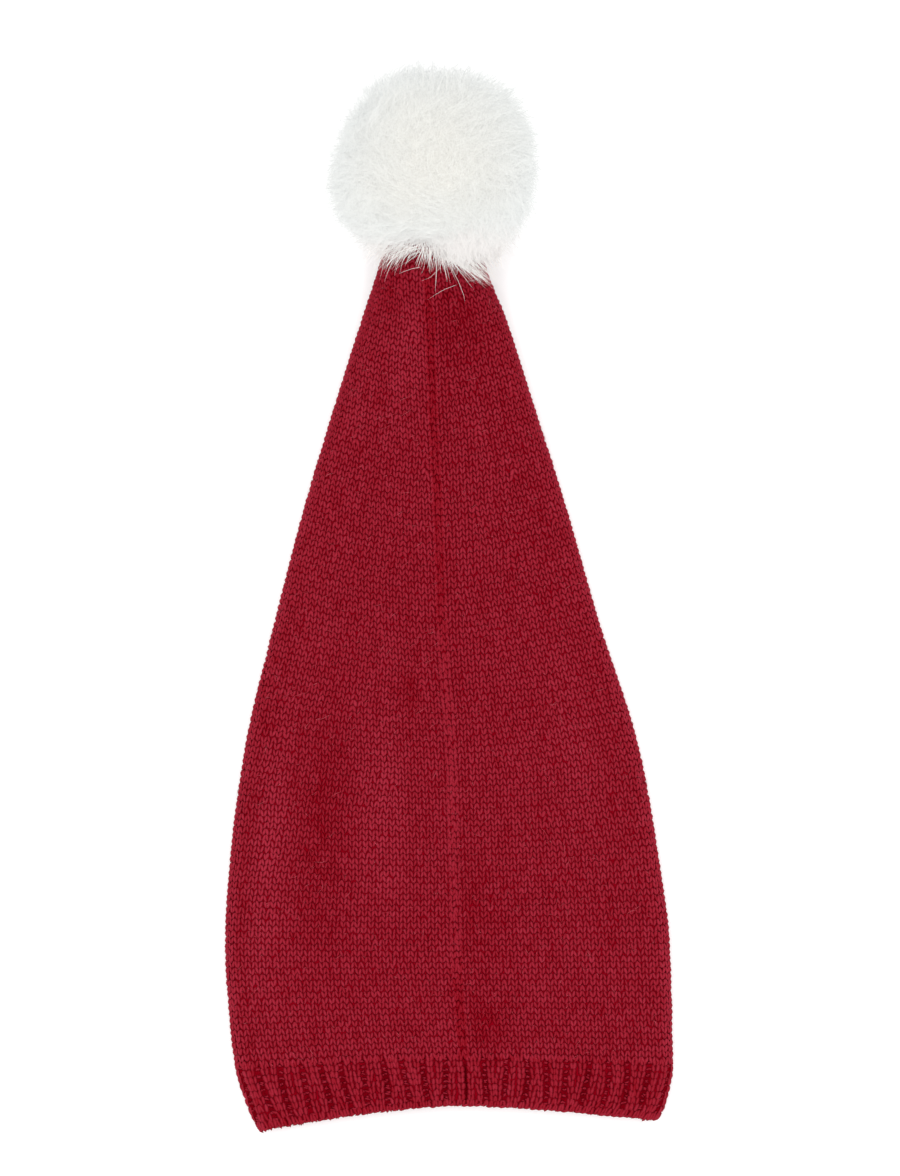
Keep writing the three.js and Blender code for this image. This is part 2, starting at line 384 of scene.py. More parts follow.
@dataclass(frozen=True)
class FurFinish:
    """Long white pile: creamy on top, cooler round its girth, with a painted red reflection where it lies
    over the crown.
    """

    name: str
    creamy: Colour
    cool: Colour
    red_bounce_tint: Colour
    tone_weight: float = 0.9
    reach_weight: float = 0.15
    cloud_weight: float = 0.3
    tone_drop: float = 0.2
    cloud_scale: float = 34.0
    fluff_scale: float = 700.0
    roughness: float = 0.7
    roughness_spread: float = 0.15
    shine: float = 0.2
    bump_strength: float = 0.4
    bump_depth: float = 0.6

    def material(self) -> bpy.types.Material:
        """The fur, which reads each hair's tone, its painted red reflection and each place along it.

        Returns:
            The material.
        """
        shader = Shader(self.name)
        cloud = shader.noise(shader.place(), self.cloud_scale)
        fluff = shader.noise(shader.place(), self.fluff_scale)
        own = shader.attribute("tone") * self.tone_weight + shader.attribute("reach") * self.reach_weight
        pile = shader.mix(own + cloud * self.cloud_weight - self.tone_drop, self.creamy, self.cool)
        return shader.surface({
            # Painted red reflection of the crown on the hairs over it.
            "Base Color": shader.mix(shader.attribute("red_bounce"), pile, self.red_bounce_tint),
            "Roughness": cloud * self.roughness_spread + self.roughness,
            "Specular IOR Level": self.shine,
            "Normal": shader.bump(fluff, self.bump_strength, self.bump_depth),
        })


@dataclass(frozen=True)
class ThreadFinish:
    """Twisted sewing thread wound round the tie."""

    name: str
    deep: Colour
    bright: Colour
    turn_scale: float = 260.0
    turn_wander: float = 0.8
    roughness: float = 0.7
    roughness_spread: float = 0.1
    bump_strength: float = 0.6
    bump_depth: float = 0.3

    def material(self) -> bpy.types.Material:
        """The thread, with its turns as fine bands along the tie.

        Returns:
            The material.
        """
        shader = Shader(self.name)
        turns = shader.bands(shader.place(), BandWay.UP_THE_HAT, self.turn_scale, self.turn_wander)
        return shader.surface({
            "Base Color": shader.mix(turns, self.deep, self.bright),
            "Roughness": turns * self.roughness_spread + self.roughness,
            "Normal": shader.bump(turns, self.bump_strength, self.bump_depth),
        })


@dataclass(frozen=True)
class FloorFinish:
    """A pale matt studio floor, lit a little from below as a light table is."""

    name: str
    colour: Colour
    glow: float = 0.3
    dim_share: float = 0.985
    cloud_scale: float = 1.5
    roughness: float = 0.8
    roughness_spread: float = 0.1
    shine: float = 0.1

    def material(self) -> bpy.types.Material:
        """The floor, with a trace of cloudiness.

        Returns:
            The material.
        """
        shader = Shader(self.name)
        cloud = shader.noise(shader.place(), self.cloud_scale)
        dim = tuple(self.dim_share * c for c in self.colour)
        return shader.surface({
            "Base Color": shader.mix(cloud, dim, self.colour),
            "Roughness": cloud * self.roughness_spread + self.roughness,
            "Specular IOR Level": self.shine,
            "Emission Color": (*self.colour, 1.0),
            "Emission Strength": self.glow,
        })


COOL_WHITE = (0.77, 0.79, 0.785)
# A painted reflection of the red crown on the white hairs that lie over it.
PALE_RED_BOUNCE = (0.8, 0.74, 0.72)
# The bright red's paler pink is partly painted sheen, which the painted highlight puts on the legs' tops.
RED_YARN = YarnFinish("red_yarn", deep=(0.195, 0.0001, 0.0045), bright=(0.328, 0.019, 0.0375))
# The loose fibres are real; their pale pink is painted sheen that they catch.
RED_FUZZ_SHEEN = YarnFinish("red_fuzz_sheen", deep=(0.36, 0.022, 0.042), bright=(0.6, 0.12, 0.15))
RED_BACKING = BackingFinish(
    "red_backing",
    deep=(0.222, 0.0005, 0.005),
    bright=(0.305, 0.001, 0.0105),
    # The shade colour is painted shade in the rib's furrows.
    shade=(0.17, 0.0006, 0.0048),
)
WHITE_FUR = FurFinish("white_fur", creamy=(0.78, 0.772, 0.73), cool=COOL_WHITE, red_bounce_tint=PALE_RED_BOUNCE)
# The head's whites are darker than the pile's: painted shade deep in the pile, where the hairs cast none.
SHADED_UNDER_FUR = FurFinish("shaded_white_under_fur", creamy=(0.7, 0.69, 0.65), cool=COOL_WHITE, red_bounce_tint=PALE_RED_BOUNCE)
WHITE_FRINGE = FurFinish(
    "white_fringe",
    creamy=(0.88, 0.87, 0.83),
    cool=(0.87, 0.88, 0.87),
    red_bounce_tint=(0.92, 0.85, 0.83),
)
WHITE_THREAD = ThreadFinish("white_thread", deep=(0.6, 0.58, 0.53), bright=(0.8, 0.78, 0.73))
PALE_FLOOR = FloorFinish("pale_floor", colour=(0.86, 0.86, 0.86))


# The form of the flat-lying tube

@dataclass(frozen=True)
class Section:
    """A row of the tube.

    along is measured from the hem's middle up the hat's middle line, and left and right are where the
    row ends. bow is how far its ends lie above its middle, and skew how far the right end lies above the
    left one. loft is the height of the rolled sides, dome the swell of the upper face, lift the height of
    the underside over the surface, and seam the offset of the seam from the row's middle.
    """

    along: float
    left: float
    right: float
    bow: float
    skew: float
    loft: float
    dome: float
    lift: float
    seam: float


@dataclass(frozen=True)
class Fold:
    """A soft fold or dent of the upper face.

    across is its place as a share of the half-width, along its place up the hat, half_across and
    half_along its reach each way, and height its height, which is below zero for a dent.
    """

    across: float
    along: float
    half_across: float
    half_along: float
    height: float


SECTIONS = (
    Section(along=0, left=-93.9, right=103.0, bow=-10.4, skew=5.4, loft=12.0, dome=3, lift=0, seam=3.5),
    Section(along=6, left=-98.5, right=107.2, bow=-8.1, skew=4.3, loft=12.5, dome=4, lift=0, seam=4.3),
    Section(along=23, left=-105.6, right=110.9, bow=-4.1, skew=2.3, loft=13.0, dome=5, lift=0, seam=5.0),
    Section(along=50, left=-109.2, right=110.4, bow=-1.5, skew=1.2, loft=13.5, dome=6, lift=0, seam=4.6),
    Section(along=80, left=-110.9, right=109.3, bow=1.0, skew=0, loft=14.0, dome=7, lift=0, seam=4.4),
    Section(along=120, left=-108.3, right=103.8, bow=3.5, skew=0, loft=14.0, dome=7, lift=0, seam=5.0),
    Section(along=170, left=-101.3, right=94.4, bow=6.0, skew=0, loft=14.5, dome=7, lift=0, seam=4.6),
    Section(along=230, left=-86.9, right=75.0, bow=8.0, skew=0, loft=15.0, dome=7, lift=0, seam=3.0),
    Section(along=290, left=-71.3, right=57.6, bow=8.0, skew=0, loft=17.0, dome=6, lift=0, seam=1.6),
    Section(along=345, left=-55.1, right=40.5, bow=7.0, skew=0, loft=21.0, dome=4, lift=0, seam=-0.6),
    Section(along=385, left=-42.7, right=27.8, bow=6.0, skew=0, loft=27.0, dome=2, lift=1, seam=-2.0),
    Section(along=405, left=-36.3, right=20.0, bow=5.0, skew=0, loft=28.5, dome=1, lift=5.5, seam=-2.2),
    Section(along=422, left=-31.0, right=14.5, bow=3.0, skew=0, loft=24.0, dome=0, lift=15.5, seam=-1.5),
    Section(along=436, left=-17.0, right=0.0, bow=0.0, skew=0, loft=11.0, dome=0, lift=25, seam=-0.5),
)

FOLDS = (
    Fold(across=-0.83, along=120, half_across=0.09, half_along=60, height=2.0),
    Fold(across=-0.58, along=140, half_across=0.1, half_along=50, height=-1.6),
    Fold(across=-0.3, along=150, half_across=0.13, half_along=45, height=1.6),
    Fold(across=-0.17, along=206, half_across=0.07, half_along=14, height=-1.4),
    Fold(across=0.17, along=40, half_across=0.09, half_along=15, height=-2.0),
    Fold(across=-0.32, along=375, half_across=0.18, half_along=26, height=1.4),
    Fold(across=0.36, along=388, half_across=0.32, half_along=26, height=-1.7),
    Fold(across=-0.68, along=400, half_across=0.16, half_along=16, height=-1.4),
    Fold(across=0.68, along=176, half_across=0.08, half_along=55, height=1.2),
    Fold(across=0.13, along=102, half_across=0.08, half_along=32, height=-1.0),
    Fold(across=-0.93, along=150, half_across=0.045, half_along=90, height=-0.8),
)


@dataclass(frozen=True)
class Run:
    """A stretch along the hat over which something comes in, stays and fades out."""

    start: float
    full: float
    fading: float
    end: float

    def share(self, along: Array) -> Array:
        """How much of it there is, from zero to one."""
        return smoothstep(self.start, self.full, along) * (1 - smoothstep(self.fading, self.end, along))


@dataclass(frozen=True)
class HatForm:
    """The knitted tube that the crown and the ribbed hem share, with its furrows and its seam."""

    hem_y: float = -251.2
    end: float = 436.0
    wall: float = 2.6
    bow_power: float = 1.5
    rib_height: float = 24.0
    rib_count: int = 44
    rib_depth: float = 1.35
    slit_depth: float = 2.6
    furrow_width: float = 0.15
    slit_width: float = 0.05
    furrow_run: Run = Run(start=2.0, full=5.5, fading=17.5, end=24.5)
    seam_width: float = 2.2
    seam_ridge: float = 0.8
    seam_groove: float = 0.6
    ridge_run: Run = Run(start=50, full=85, fading=200, end=265)
    groove_run: Run = Run(start=255, full=310, fading=395, end=415)
    drape_run: Run = Run(start=70, full=220, fading=380, end=432)
    drape_rise: float = 4.5
    sway: float = 0.07
    sway_turn: float = 1.7
    sway_rate: float = 0.16
    unevenness: float = 0.22
    uneven_turn: float = 2.4
    # Painted light and shade: fold crests and the rolled sides are painted lighter, dents darker.
    fold_shading: float = 0.2
    side_highlight: float = 0.42
    side_highlight_from: float = 0.94
    lowest: float = 0.5
    probe: float = 0.5

    def column(self, name: str, along: Array) -> Array:
        """Smooth values between the rows of the section table.

        Args:
            name: One of the table's columns.
            along: Distances up the hat.

        Returns:
            The column's value at each distance.
        """
        rows, values = table(SECTIONS, "along"), table(SECTIONS, name)
        secant = np.diff(values) / np.diff(rows)
        before = np.concatenate([secant[:1], secant])
        after = np.concatenate([secant, secant[-1:]])
        agree = before * after > 0
        slope = np.where(agree, 2 * before * after / np.where(agree, before + after, 1), 0)
        row = np.clip(np.searchsorted(rows, along, side="right") - 1, 0, len(rows) - 2)
        span = rows[row + 1] - rows[row]
        t = (along - rows[row]) / span
        blend = (3 - 2 * t) * t * t
        bend = (1 - t) * slope[row] - t * slope[row + 1]
        return values[row] * (1 - blend) + values[row + 1] * blend + span * t * (1 - t) * bend

    def girth(self, along: Array) -> Array:
        """The distance all round the tube.

        Args:
            along: Distances up the hat.

        Returns:
            The girth at each distance.
        """
        radius = self.column("loft", along) / 2
        width = self.column("right", along) - self.column("left", along)
        return 2 * width - 4 * radius + 2 * math.pi * radius

    def point(self, along: Array, arc: Array, inset: Array) -> Array:
        """Points of the smooth tube.

        Args:
            along: Distances up the hat.
            arc: Distances round the tube from the seam, to the right over the upper face.
            inset: Depths below the outer face.

        Returns:
            Positions in millimetres, with a last axis of three.
        """
        along, arc, inset = np.broadcast_arrays(*(np.asarray(a, float) for a in (along, arc, inset)))
        left, right = self.column("left", along), self.column("right", along)
        radius = self.column("loft", along) / 2
        half, middle = (right - left) / 2, (right + left) / 2
        flat, turn = half - radius, math.pi * radius
        path = (arc + self.column("seam", along) + flat) % (4 * flat + 2 * turn)
        over, right_turn, under = 2 * flat, 2 * flat + turn, 4 * flat + turn
        stretches = [path < over, path < right_turn, path < under]
        hub = np.select(stretches, [path - flat, flat, 3 * flat + turn - path], -flat)
        turned = [np.zeros_like(path), (path - over) / radius, np.full_like(path, math.pi)]
        angle = np.select(stretches, turned, math.pi + (path - under) / radius)
        side = hub + (radius - inset) * np.sin(angle)
        across = side / half
        swell = self.column("dome", along) * (1 - across**2) + self.fold_height(along, across)
        rise = self.column("bow", along) + self.column("skew", along) / 2 * np.sign(across)
        y = self.hem_y + along + rise * np.abs(across) ** self.bow_power
        z = self.column("lift", along) + radius + (radius - inset) * np.cos(angle)
        return np.stack([middle + side, y, z + swell * np.maximum(np.cos(angle), 0)], axis=-1)

    @staticmethod
    def fold_height(along: Array, across: Array) -> Array:
        """The height of the folds and dents.

        Args:
            along: Distances up the hat.
            across: Shares of the half-width across the upper face.

        Returns:
            The height at each place.
        """
        height = np.zeros(np.shape(across))
        for fold in FOLDS:
            sideways = (across - fold.across) / fold.half_across
            ahead = (along - fold.along) / fold.half_along
            height = height + fold.height * np.exp(-sideways**2 - ahead**2)
        return height

    def painted_shading(self, along: Array, arc: Array) -> Array:
        """How much lighter the yarn is painted on fold crests and the rolled sides, and darker in dents, as
        painted light and shade.

        Args:
            along: Distances up the hat.
            arc: Distances round the tube from the seam.

        Returns:
            What the yarn's tone gains at each place from the painted light and shade.
        """
        spot = self.point(along, arc, 0.0)
        left, right = self.column("left", along), self.column("right", along)
        across = (2 * spot[..., 0] - left - right) / (right - left)
        upper = spot[..., 2] > self.column("lift", along) + self.column("loft", along) / 2
        # Painted shade and highlight: lighter on fold crests, darker in dents, lighter towards the rolled
        # sides.
        fold_shade = self.fold_shading * self.fold_height(along, across) * upper
        return fold_shade + self.side_highlight * smoothstep(self.side_highlight_from, 1.0, np.abs(across))

    def drape(self, along: Array, arc: Array) -> Array:
        """How much higher the rows of stitches hang towards the tube's rolled sides."""
        side = 1 - np.abs(1 - 4 * arc / self.girth(along) % 2)
        return self.drape_rise * self.drape_run.share(along) * side**self.bow_power

    def rib_sway(self, along: Array, number: Array) -> Array:
        """How far a furrow strays sideways on its way up, as a share of a rib."""
        return self.sway * np.sin(self.sway_turn * number + self.sway_rate * along) * np.sign(number)

    def furrow(self, along: Array, arc: Array) -> Array:
        """The furrows between the ribs, deepest at the seam's slit.

        Args:
            along: Distances up the hat.
            arc: Distances round the tube from the seam.

        Returns:
            The furrows' depth at each place.
        """
        place = arc / self.girth(along) * self.rib_count
        number = np.round(place) % self.rib_count
        aside = np.abs(place - np.round(place) - self.rib_sway(along, number))
        slit = number == 0
        uneven = 1 + self.unevenness * np.sin(self.uneven_turn * number)
        width = np.where(slit, self.slit_width, self.furrow_width * uneven)
        depth = np.where(slit, self.slit_depth, self.rib_depth * uneven)
        return depth * np.exp(-((aside / width) ** 2)) * self.furrow_run.share(along)

    def seam_relief(self, along: Array, arc: Array) -> Array:
        """The seam's ridge and its groove.

        Args:
            along: Distances up the hat.
            arc: Distances round the tube from the seam.

        Returns:
            Heights above the tube, below zero in the groove.
        """
        girth = self.girth(along)
        aside = np.abs((arc + girth / 2) % girth - girth / 2)
        height = self.seam_ridge * self.ridge_run.share(along)
        height = height - self.seam_groove * self.groove_run.share(along)
        return height * np.exp(-((aside / self.seam_width) ** 2))

    def surface(self, along: Array, arc: Array, sink: Array) -> Array:
        """Points of the tube with its furrows and seam, kept above the surface that it lies on.

        Args:
            along: Distances up the hat.
            arc: Distances round the tube from the seam.
            sink: Depths below the knit's face.

        Returns:
            Positions in millimetres.
        """
        inset = sink + self.furrow(along, arc) - self.seam_relief(along, arc)
        points = self.point(along, arc, inset)
        points[..., 2] = np.maximum(points[..., 2], self.lowest)
        return points

    def outward(self, along: Array, arc: Array) -> Array:
        """Directions out of the tube's face."""
        return unit(self.point(along, arc, -self.probe) - self.point(along, arc, self.probe))


# Meshes from arrays

@dataclass
class Shape:
    """A mesh as arrays: points, faces by their number of corners, maps for each corner, and tones."""

    points: Array
    faces: list[Array]
    maps: dict[str, list[Array]]
    numbers: dict[str, Array] = field(default_factory=dict)
    normals: Array | None = None

    def piece(self, name: str, material: bpy.types.Material, slot: Slot) -> bpy.types.Object:
        """Makes the Blender object, dressed and riding on the hat.

        Args:
            name: The piece's name.
            material: Its finish.
            slot: The record's slot that the finish stands for; not used.

        Returns:
            The new object.
        """
        corners = np.concatenate([face.ravel() for face in self.faces])
        totals = np.concatenate([np.full(len(face), face.shape[1]) for face in self.faces])
        starts = np.concatenate([[0], np.cumsum(totals)[:-1]])
        mesh = bpy.data.meshes.new(name)
        mesh.vertices.add(len(self.points))
        mesh.vertices.foreach_set("co", (self.points * MM).astype(np.float32).ravel())
        mesh.loops.add(len(corners))
        mesh.loops.foreach_set("vertex_index", corners.astype(np.int32))
        mesh.polygons.add(len(totals))
        mesh.polygons.foreach_set("loop_start", starts.astype(np.int32))
        mesh.polygons.foreach_set("use_smooth", np.ones(len(totals), bool))
        for map_name, layers in self.maps.items():
            layer = mesh.uv_layers.new(name=map_name)
            spots = np.concatenate([spot.reshape(-1, 2) for spot in layers])
            layer.uv.foreach_set("vector", spots.astype(np.float32).ravel())
        for number_name, values in self.numbers.items():
            stored = mesh.attributes.new(number_name, "FLOAT", "POINT")
            stored.data.foreach_set("value", values.astype(np.float32))
        mesh.update(calc_edges=True)
        if self.normals is not None:
            mesh.normals_split_custom_set_from_vertices(self.normals.tolist())
        mesh.materials.append(material)
        piece = bpy.data.objects.new(name, mesh)
        bpy.context.scene.collection.objects.link(piece)
        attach(piece, BODY)
        return piece


@dataclass
class Tubes:
    """Many closed tapering tubes, one for each yarn leg or hair, as arrays of spine points.

    The first and last points of a spine are the tube's two ends, and the others carry a ring each. Where
    facing is given, the tubes shade partly as the soft whole that faces that way.
    """

    spines: Array
    ups: Array
    half_widths: Array
    half_heights: Array
    tones: Array
    red_bounces: Array | None = None
    facing: Array | None = None
    softness: float = 0.0
    sides: int = 4
    twist_length: float = 1.4
    cell_margin: float = 0.12

    def _turns(self) -> Array:
        """The angles of a ring's points."""
        return 2 * math.pi * np.arange(self.sides) / self.sides

    def _knots(self) -> Array:
        """The number of the spine point that each point of a tube belongs to."""
        last = self.spines.shape[1] - 1
        return np.concatenate([[0], np.repeat(np.arange(1, last), self.sides), [last]])

    def points(self) -> Array:
        """Every tube's points: its start, its rings and its end.

        Returns:
            The points, as tubes by points by three.
        """
        along = unit(np.gradient(self.spines, axis=1))
        sideways = unit(np.cross(along, self.ups))
        upright = np.cross(sideways, along)
        wide, high = (trig(self._turns())[:, None] for trig in (np.cos, np.sin))
        reach = self.half_widths[..., None, None] * wide * sideways[..., None, :]
        reach = reach + self.half_heights[..., None, None] * high * upright[..., None, :]
        rings = (self.spines[..., None, :] + reach)[:, 1:-1].reshape(len(self.spines), -1, 3)
        return np.concatenate([self.spines[:, :1], rings, self.spines[:, -1:]], axis=1)

    def soft_normals(self, points: Array) -> Array:
        """Normals between each tube's own and the way that the soft whole faces.

        Args:
            points: Every tube's points, as tubes by points by three.

        Returns:
            A normal for each point, as one list.
        """
        knots = self._knots()
        own = unit(points - self.spines[:, knots])
        return unit((1 - self.softness) * own + self.softness * self.facing[:, knots]).reshape(-1, 3)

    def corners(self) -> tuple[list[Array], list[Array], list[Array]]:
        """The faces of one tube.

        Returns:
            For the end triangles and for the side quads: the points, the places round the tube from zero
            to one, and the numbers of the spine points.
        """
        sides = self.sides
        rings = self.spines.shape[1] - 2
        k = np.arange(sides)
        after = (k + 1) % sides
        last = 1 + rings * sides
        far = last - sides
        start = np.stack([np.zeros_like(k), 1 + k, 1 + after], axis=1)
        end = np.stack([np.full_like(k, last), far + after, far + k], axis=1)
        start_round = np.stack([k + 0.5, k, k + 1], axis=1) / sides
        end_round = np.stack([k + 0.5, k + 1, k], axis=1) / sides
        start_step = np.tile([0, 1, 1], (sides, 1))
        end_step = np.tile([rings + 1, rings, rings], (sides, 1))
        faces = [np.concatenate([start, end])]
        around = [np.concatenate([start_round, end_round])]
        places = [np.concatenate([start_step, end_step])]
        quads, rounds, steps = [], [], []
        for ring in range(1, rings):
            near = 1 + (ring - 1) * sides
            quads.append(np.stack([near + k, near + sides + k, near + sides + after, near + after], axis=1))
            rounds.append(np.stack([k, k, k + 1, k + 1], axis=1) / sides)
            steps.append(np.tile([ring, ring + 1, ring + 1, ring], (sides, 1)))
        if quads:
            faces.append(np.concatenate(quads))
            around.append(np.concatenate(rounds))
            places.append(np.concatenate(steps))
        return faces, around, places

    def shape(self) -> Shape:
        """All the tubes as one shape, with a map along the yarn and one with a cell for each tube.

        Returns:
            The shape, with each point's tone, place along its tube, painted highlight on the tube's upper
            side and painted red reflection.
        """
        count, knots, _ = self.spines.shape
        each = np.arange(count)
        points = self.points()
        per_tube = points.shape[1]
        lengths = np.linalg.norm(np.diff(self.spines, axis=1), axis=2)
        run = np.concatenate([np.zeros((count, 1)), np.cumsum(lengths, axis=1)], axis=1) / self.twist_length
        run = run + (each * GOLDEN_SHARE % 1)[:, None]
        cells = math.ceil(math.sqrt(count))
        cell = np.stack([each % cells, each // cells], axis=1)[:, None, None, :] + self.cell_margin
        faces, yarn_map, bake_map = [], [], []
        for face, around, step in zip(*self.corners()):
            faces.append((face[None] + per_tube * each[:, None, None]).reshape(-1, face.shape[1]))
            round_all = np.broadcast_to(around, (count, *around.shape))
            yarn_map.append(np.stack([round_all, run[:, step]], axis=-1))
            inside = np.stack([around, step / (knots - 1)], axis=-1)[None]
            bake_map.append((cell + (1 - 2 * self.cell_margin) * inside) / cells)
        # Painted highlight: the side of each ring that faces out of the surface is lightest, as if lit from
        # above.
        top = np.maximum(np.sin(self._turns()), 0)
        painted_highlight = np.concatenate([[0], np.tile(top, knots - 2), [0]])
        numbers = {
            "tone": np.repeat(self.tones, per_tube),
            "reach": np.tile(self._knots() / (knots - 1), count),
            "painted_highlight": np.tile(painted_highlight, count),
        }
        if self.red_bounces is not None:
            numbers["red_bounce"] = np.repeat(self.red_bounces, per_tube)
        maps = {BAKE_MAP: bake_map, YARN_MAP: yarn_map}
        normals = None if self.facing is None else self.soft_normals(points)
        return Shape(points.reshape(-1, 3), faces, maps, numbers, normals)


def wall_shape(rings: Array, round_run: Array, along_run: Array, furrow: Array) -> Shape:
    """A hollow wall through rings of its outer face and then of its inner face, joined up.

    Args:
        rings: Points, as rings by columns by three.
        round_run: Each column's distance round the wall.
        along_run: Each ring's distance along the wall.
        furrow: How deep in a furrow each point lies, from zero to one.

    Returns:
        The closed wall as a shape.
    """
    count, columns, _ = rings.shape
    row, column = np.meshgrid(np.arange(count), np.arange(columns), indexing="ij")
    next_row, next_column = (row + 1) % count, (column + 1) % columns
    corner_rows = np.stack([row, row, next_row, next_row], axis=-1).reshape(-1, 4)
    corner_columns = np.stack([column, next_column, next_column, column], axis=-1).reshape(-1, 4)
    faces = corner_rows * columns + corner_columns
    step_rows = np.stack([row, row, row + 1, row + 1], axis=-1).reshape(-1, 4)
    step_columns = np.stack([column, column + 1, column + 1, column], axis=-1).reshape(-1, 4)
    bake = np.stack([step_columns / columns, step_rows / count], axis=-1)
    pitch = round_run[1] - round_run[0]
    yarn = np.stack([step_columns * pitch, along_run[corner_rows]], axis=-1)
    maps = {BAKE_MAP: [bake], YARN_MAP: [yarn]}
    return Shape(rings.reshape(-1, 3), [faces], maps, {"furrow": furrow.ravel()})


# The knit

@dataclass(frozen=True)
class LegPoint:
    """A point on one leg of a stitch.

    across is counted in wales from the middle of the stitch's wale and ahead in courses from its course.
    sink is the depth of the leg's middle below the knit's face, and fullness its share of full thickness.
    """

    across: float
    ahead: float
    sink: float
    fullness: float


FULL_LEG = (
    LegPoint(across=0.05, ahead=-0.3, sink=1.6, fullness=0),
    LegPoint(across=0.135, ahead=0.02, sink=0.58, fullness=0.9),
    LegPoint(across=0.25, ahead=0.4, sink=0.25, fullness=1.0),
    LegPoint(across=0.35, ahead=0.77, sink=0.5, fullness=0.9),
    LegPoint(across=0.42, ahead=1.08, sink=1.6, fullness=0),
)

RIB_LEG = (
    LegPoint(across=0.12, ahead=-0.3, sink=1.5, fullness=0),
    LegPoint(across=0.18, ahead=0.02, sink=0.5, fullness=0.92),
    LegPoint(across=0.245, ahead=0.4, sink=0.25, fullness=1.0),
    LegPoint(across=0.3, ahead=0.77, sink=0.45, fullness=0.92),
    LegPoint(across=0.34, ahead=1.08, sink=1.5, fullness=0),
)

PLAIN_LEG = (
    LegPoint(across=0.07, ahead=-0.3, sink=1.1, fullness=0),
    LegPoint(across=0.26, ahead=0.4, sink=0.3, fullness=1.0),
    LegPoint(across=0.42, ahead=1.1, sink=1.1, fullness=0),
)


@dataclass
class Legs:
    """A set of stitch legs, with a course, a side, a pitch and a tone for each.

    The nudges are how far scatter moves a leg: along and across the knit, apart from its twin, down into
    the cloth, and in thickness.
    """

    form: HatForm
    points: tuple[LegPoint, ...]
    base: Array
    side: Array
    pitch: Array
    course_height: float
    arc_at: Callable[[Array], Array]
    tones: Array
    rng: np.random.Generator
    scatter: float
    raised: float = 0.0
    half_width: float = 0.235
    half_height: float = 0.64
    widest: float = 4.4
    along_nudge: float = 0.055
    apart_nudge: float = 0.08
    across_nudge: float = 0.028
    sink_nudge: float = 0.05
    thickness_nudge: float = 0.06

    def tubes(self) -> Tubes:
        """The legs as tubes that follow the hat's face.

        Returns:
            The tubes, each with its stitch's tone.
        """
        count = len(self.base)
        nudge = self.rng.normal(0, self.scatter, (4, count, 1))
        names = ("across", "ahead", "sink", "fullness")
        across, ahead, sink, fullness = (table(self.points, name) for name in names)
        course = self.base[:, None] + ahead + self.along_nudge * nudge[0]
        apart = 1 + self.apart_nudge * nudge[1]
        aside = self.side[:, None] * across * apart + self.across_nudge * nudge[2]
        along = self.form.rib_height + course * self.course_height
        arc = self.arc_at(course) + aside * self.pitch[:, None]
        along = along + self.form.drape(along, arc)
        spines = self.form.surface(along, arc, sink - self.raised + self.sink_nudge * nudge[3])
        spread = 1 + self.thickness_nudge * self.rng.normal(0, self.scatter, (count, 1))
        widths = self.half_width * np.minimum(self.pitch, self.widest)[:, None] * fullness * spread
        heights = self.half_height * fullness * spread
        middle = len(self.points) // 2
        # Each stitch's tone also takes the painted light and shade of the folds and the rolled sides.
        tones = np.clip(self.tones + self.form.painted_shading(along[:, middle], arc[:, middle]), 0, 1)
        return Tubes(spines, self.form.outward(along, arc), widths, heights, tones)


class Part(Enum):
    """The parts of the crown's face that its stitches are joined into, round from the seam."""

    UPPER_RIGHT = "upper_right"
    UNDER = "under"
    UPPER_LEFT = "upper_left"


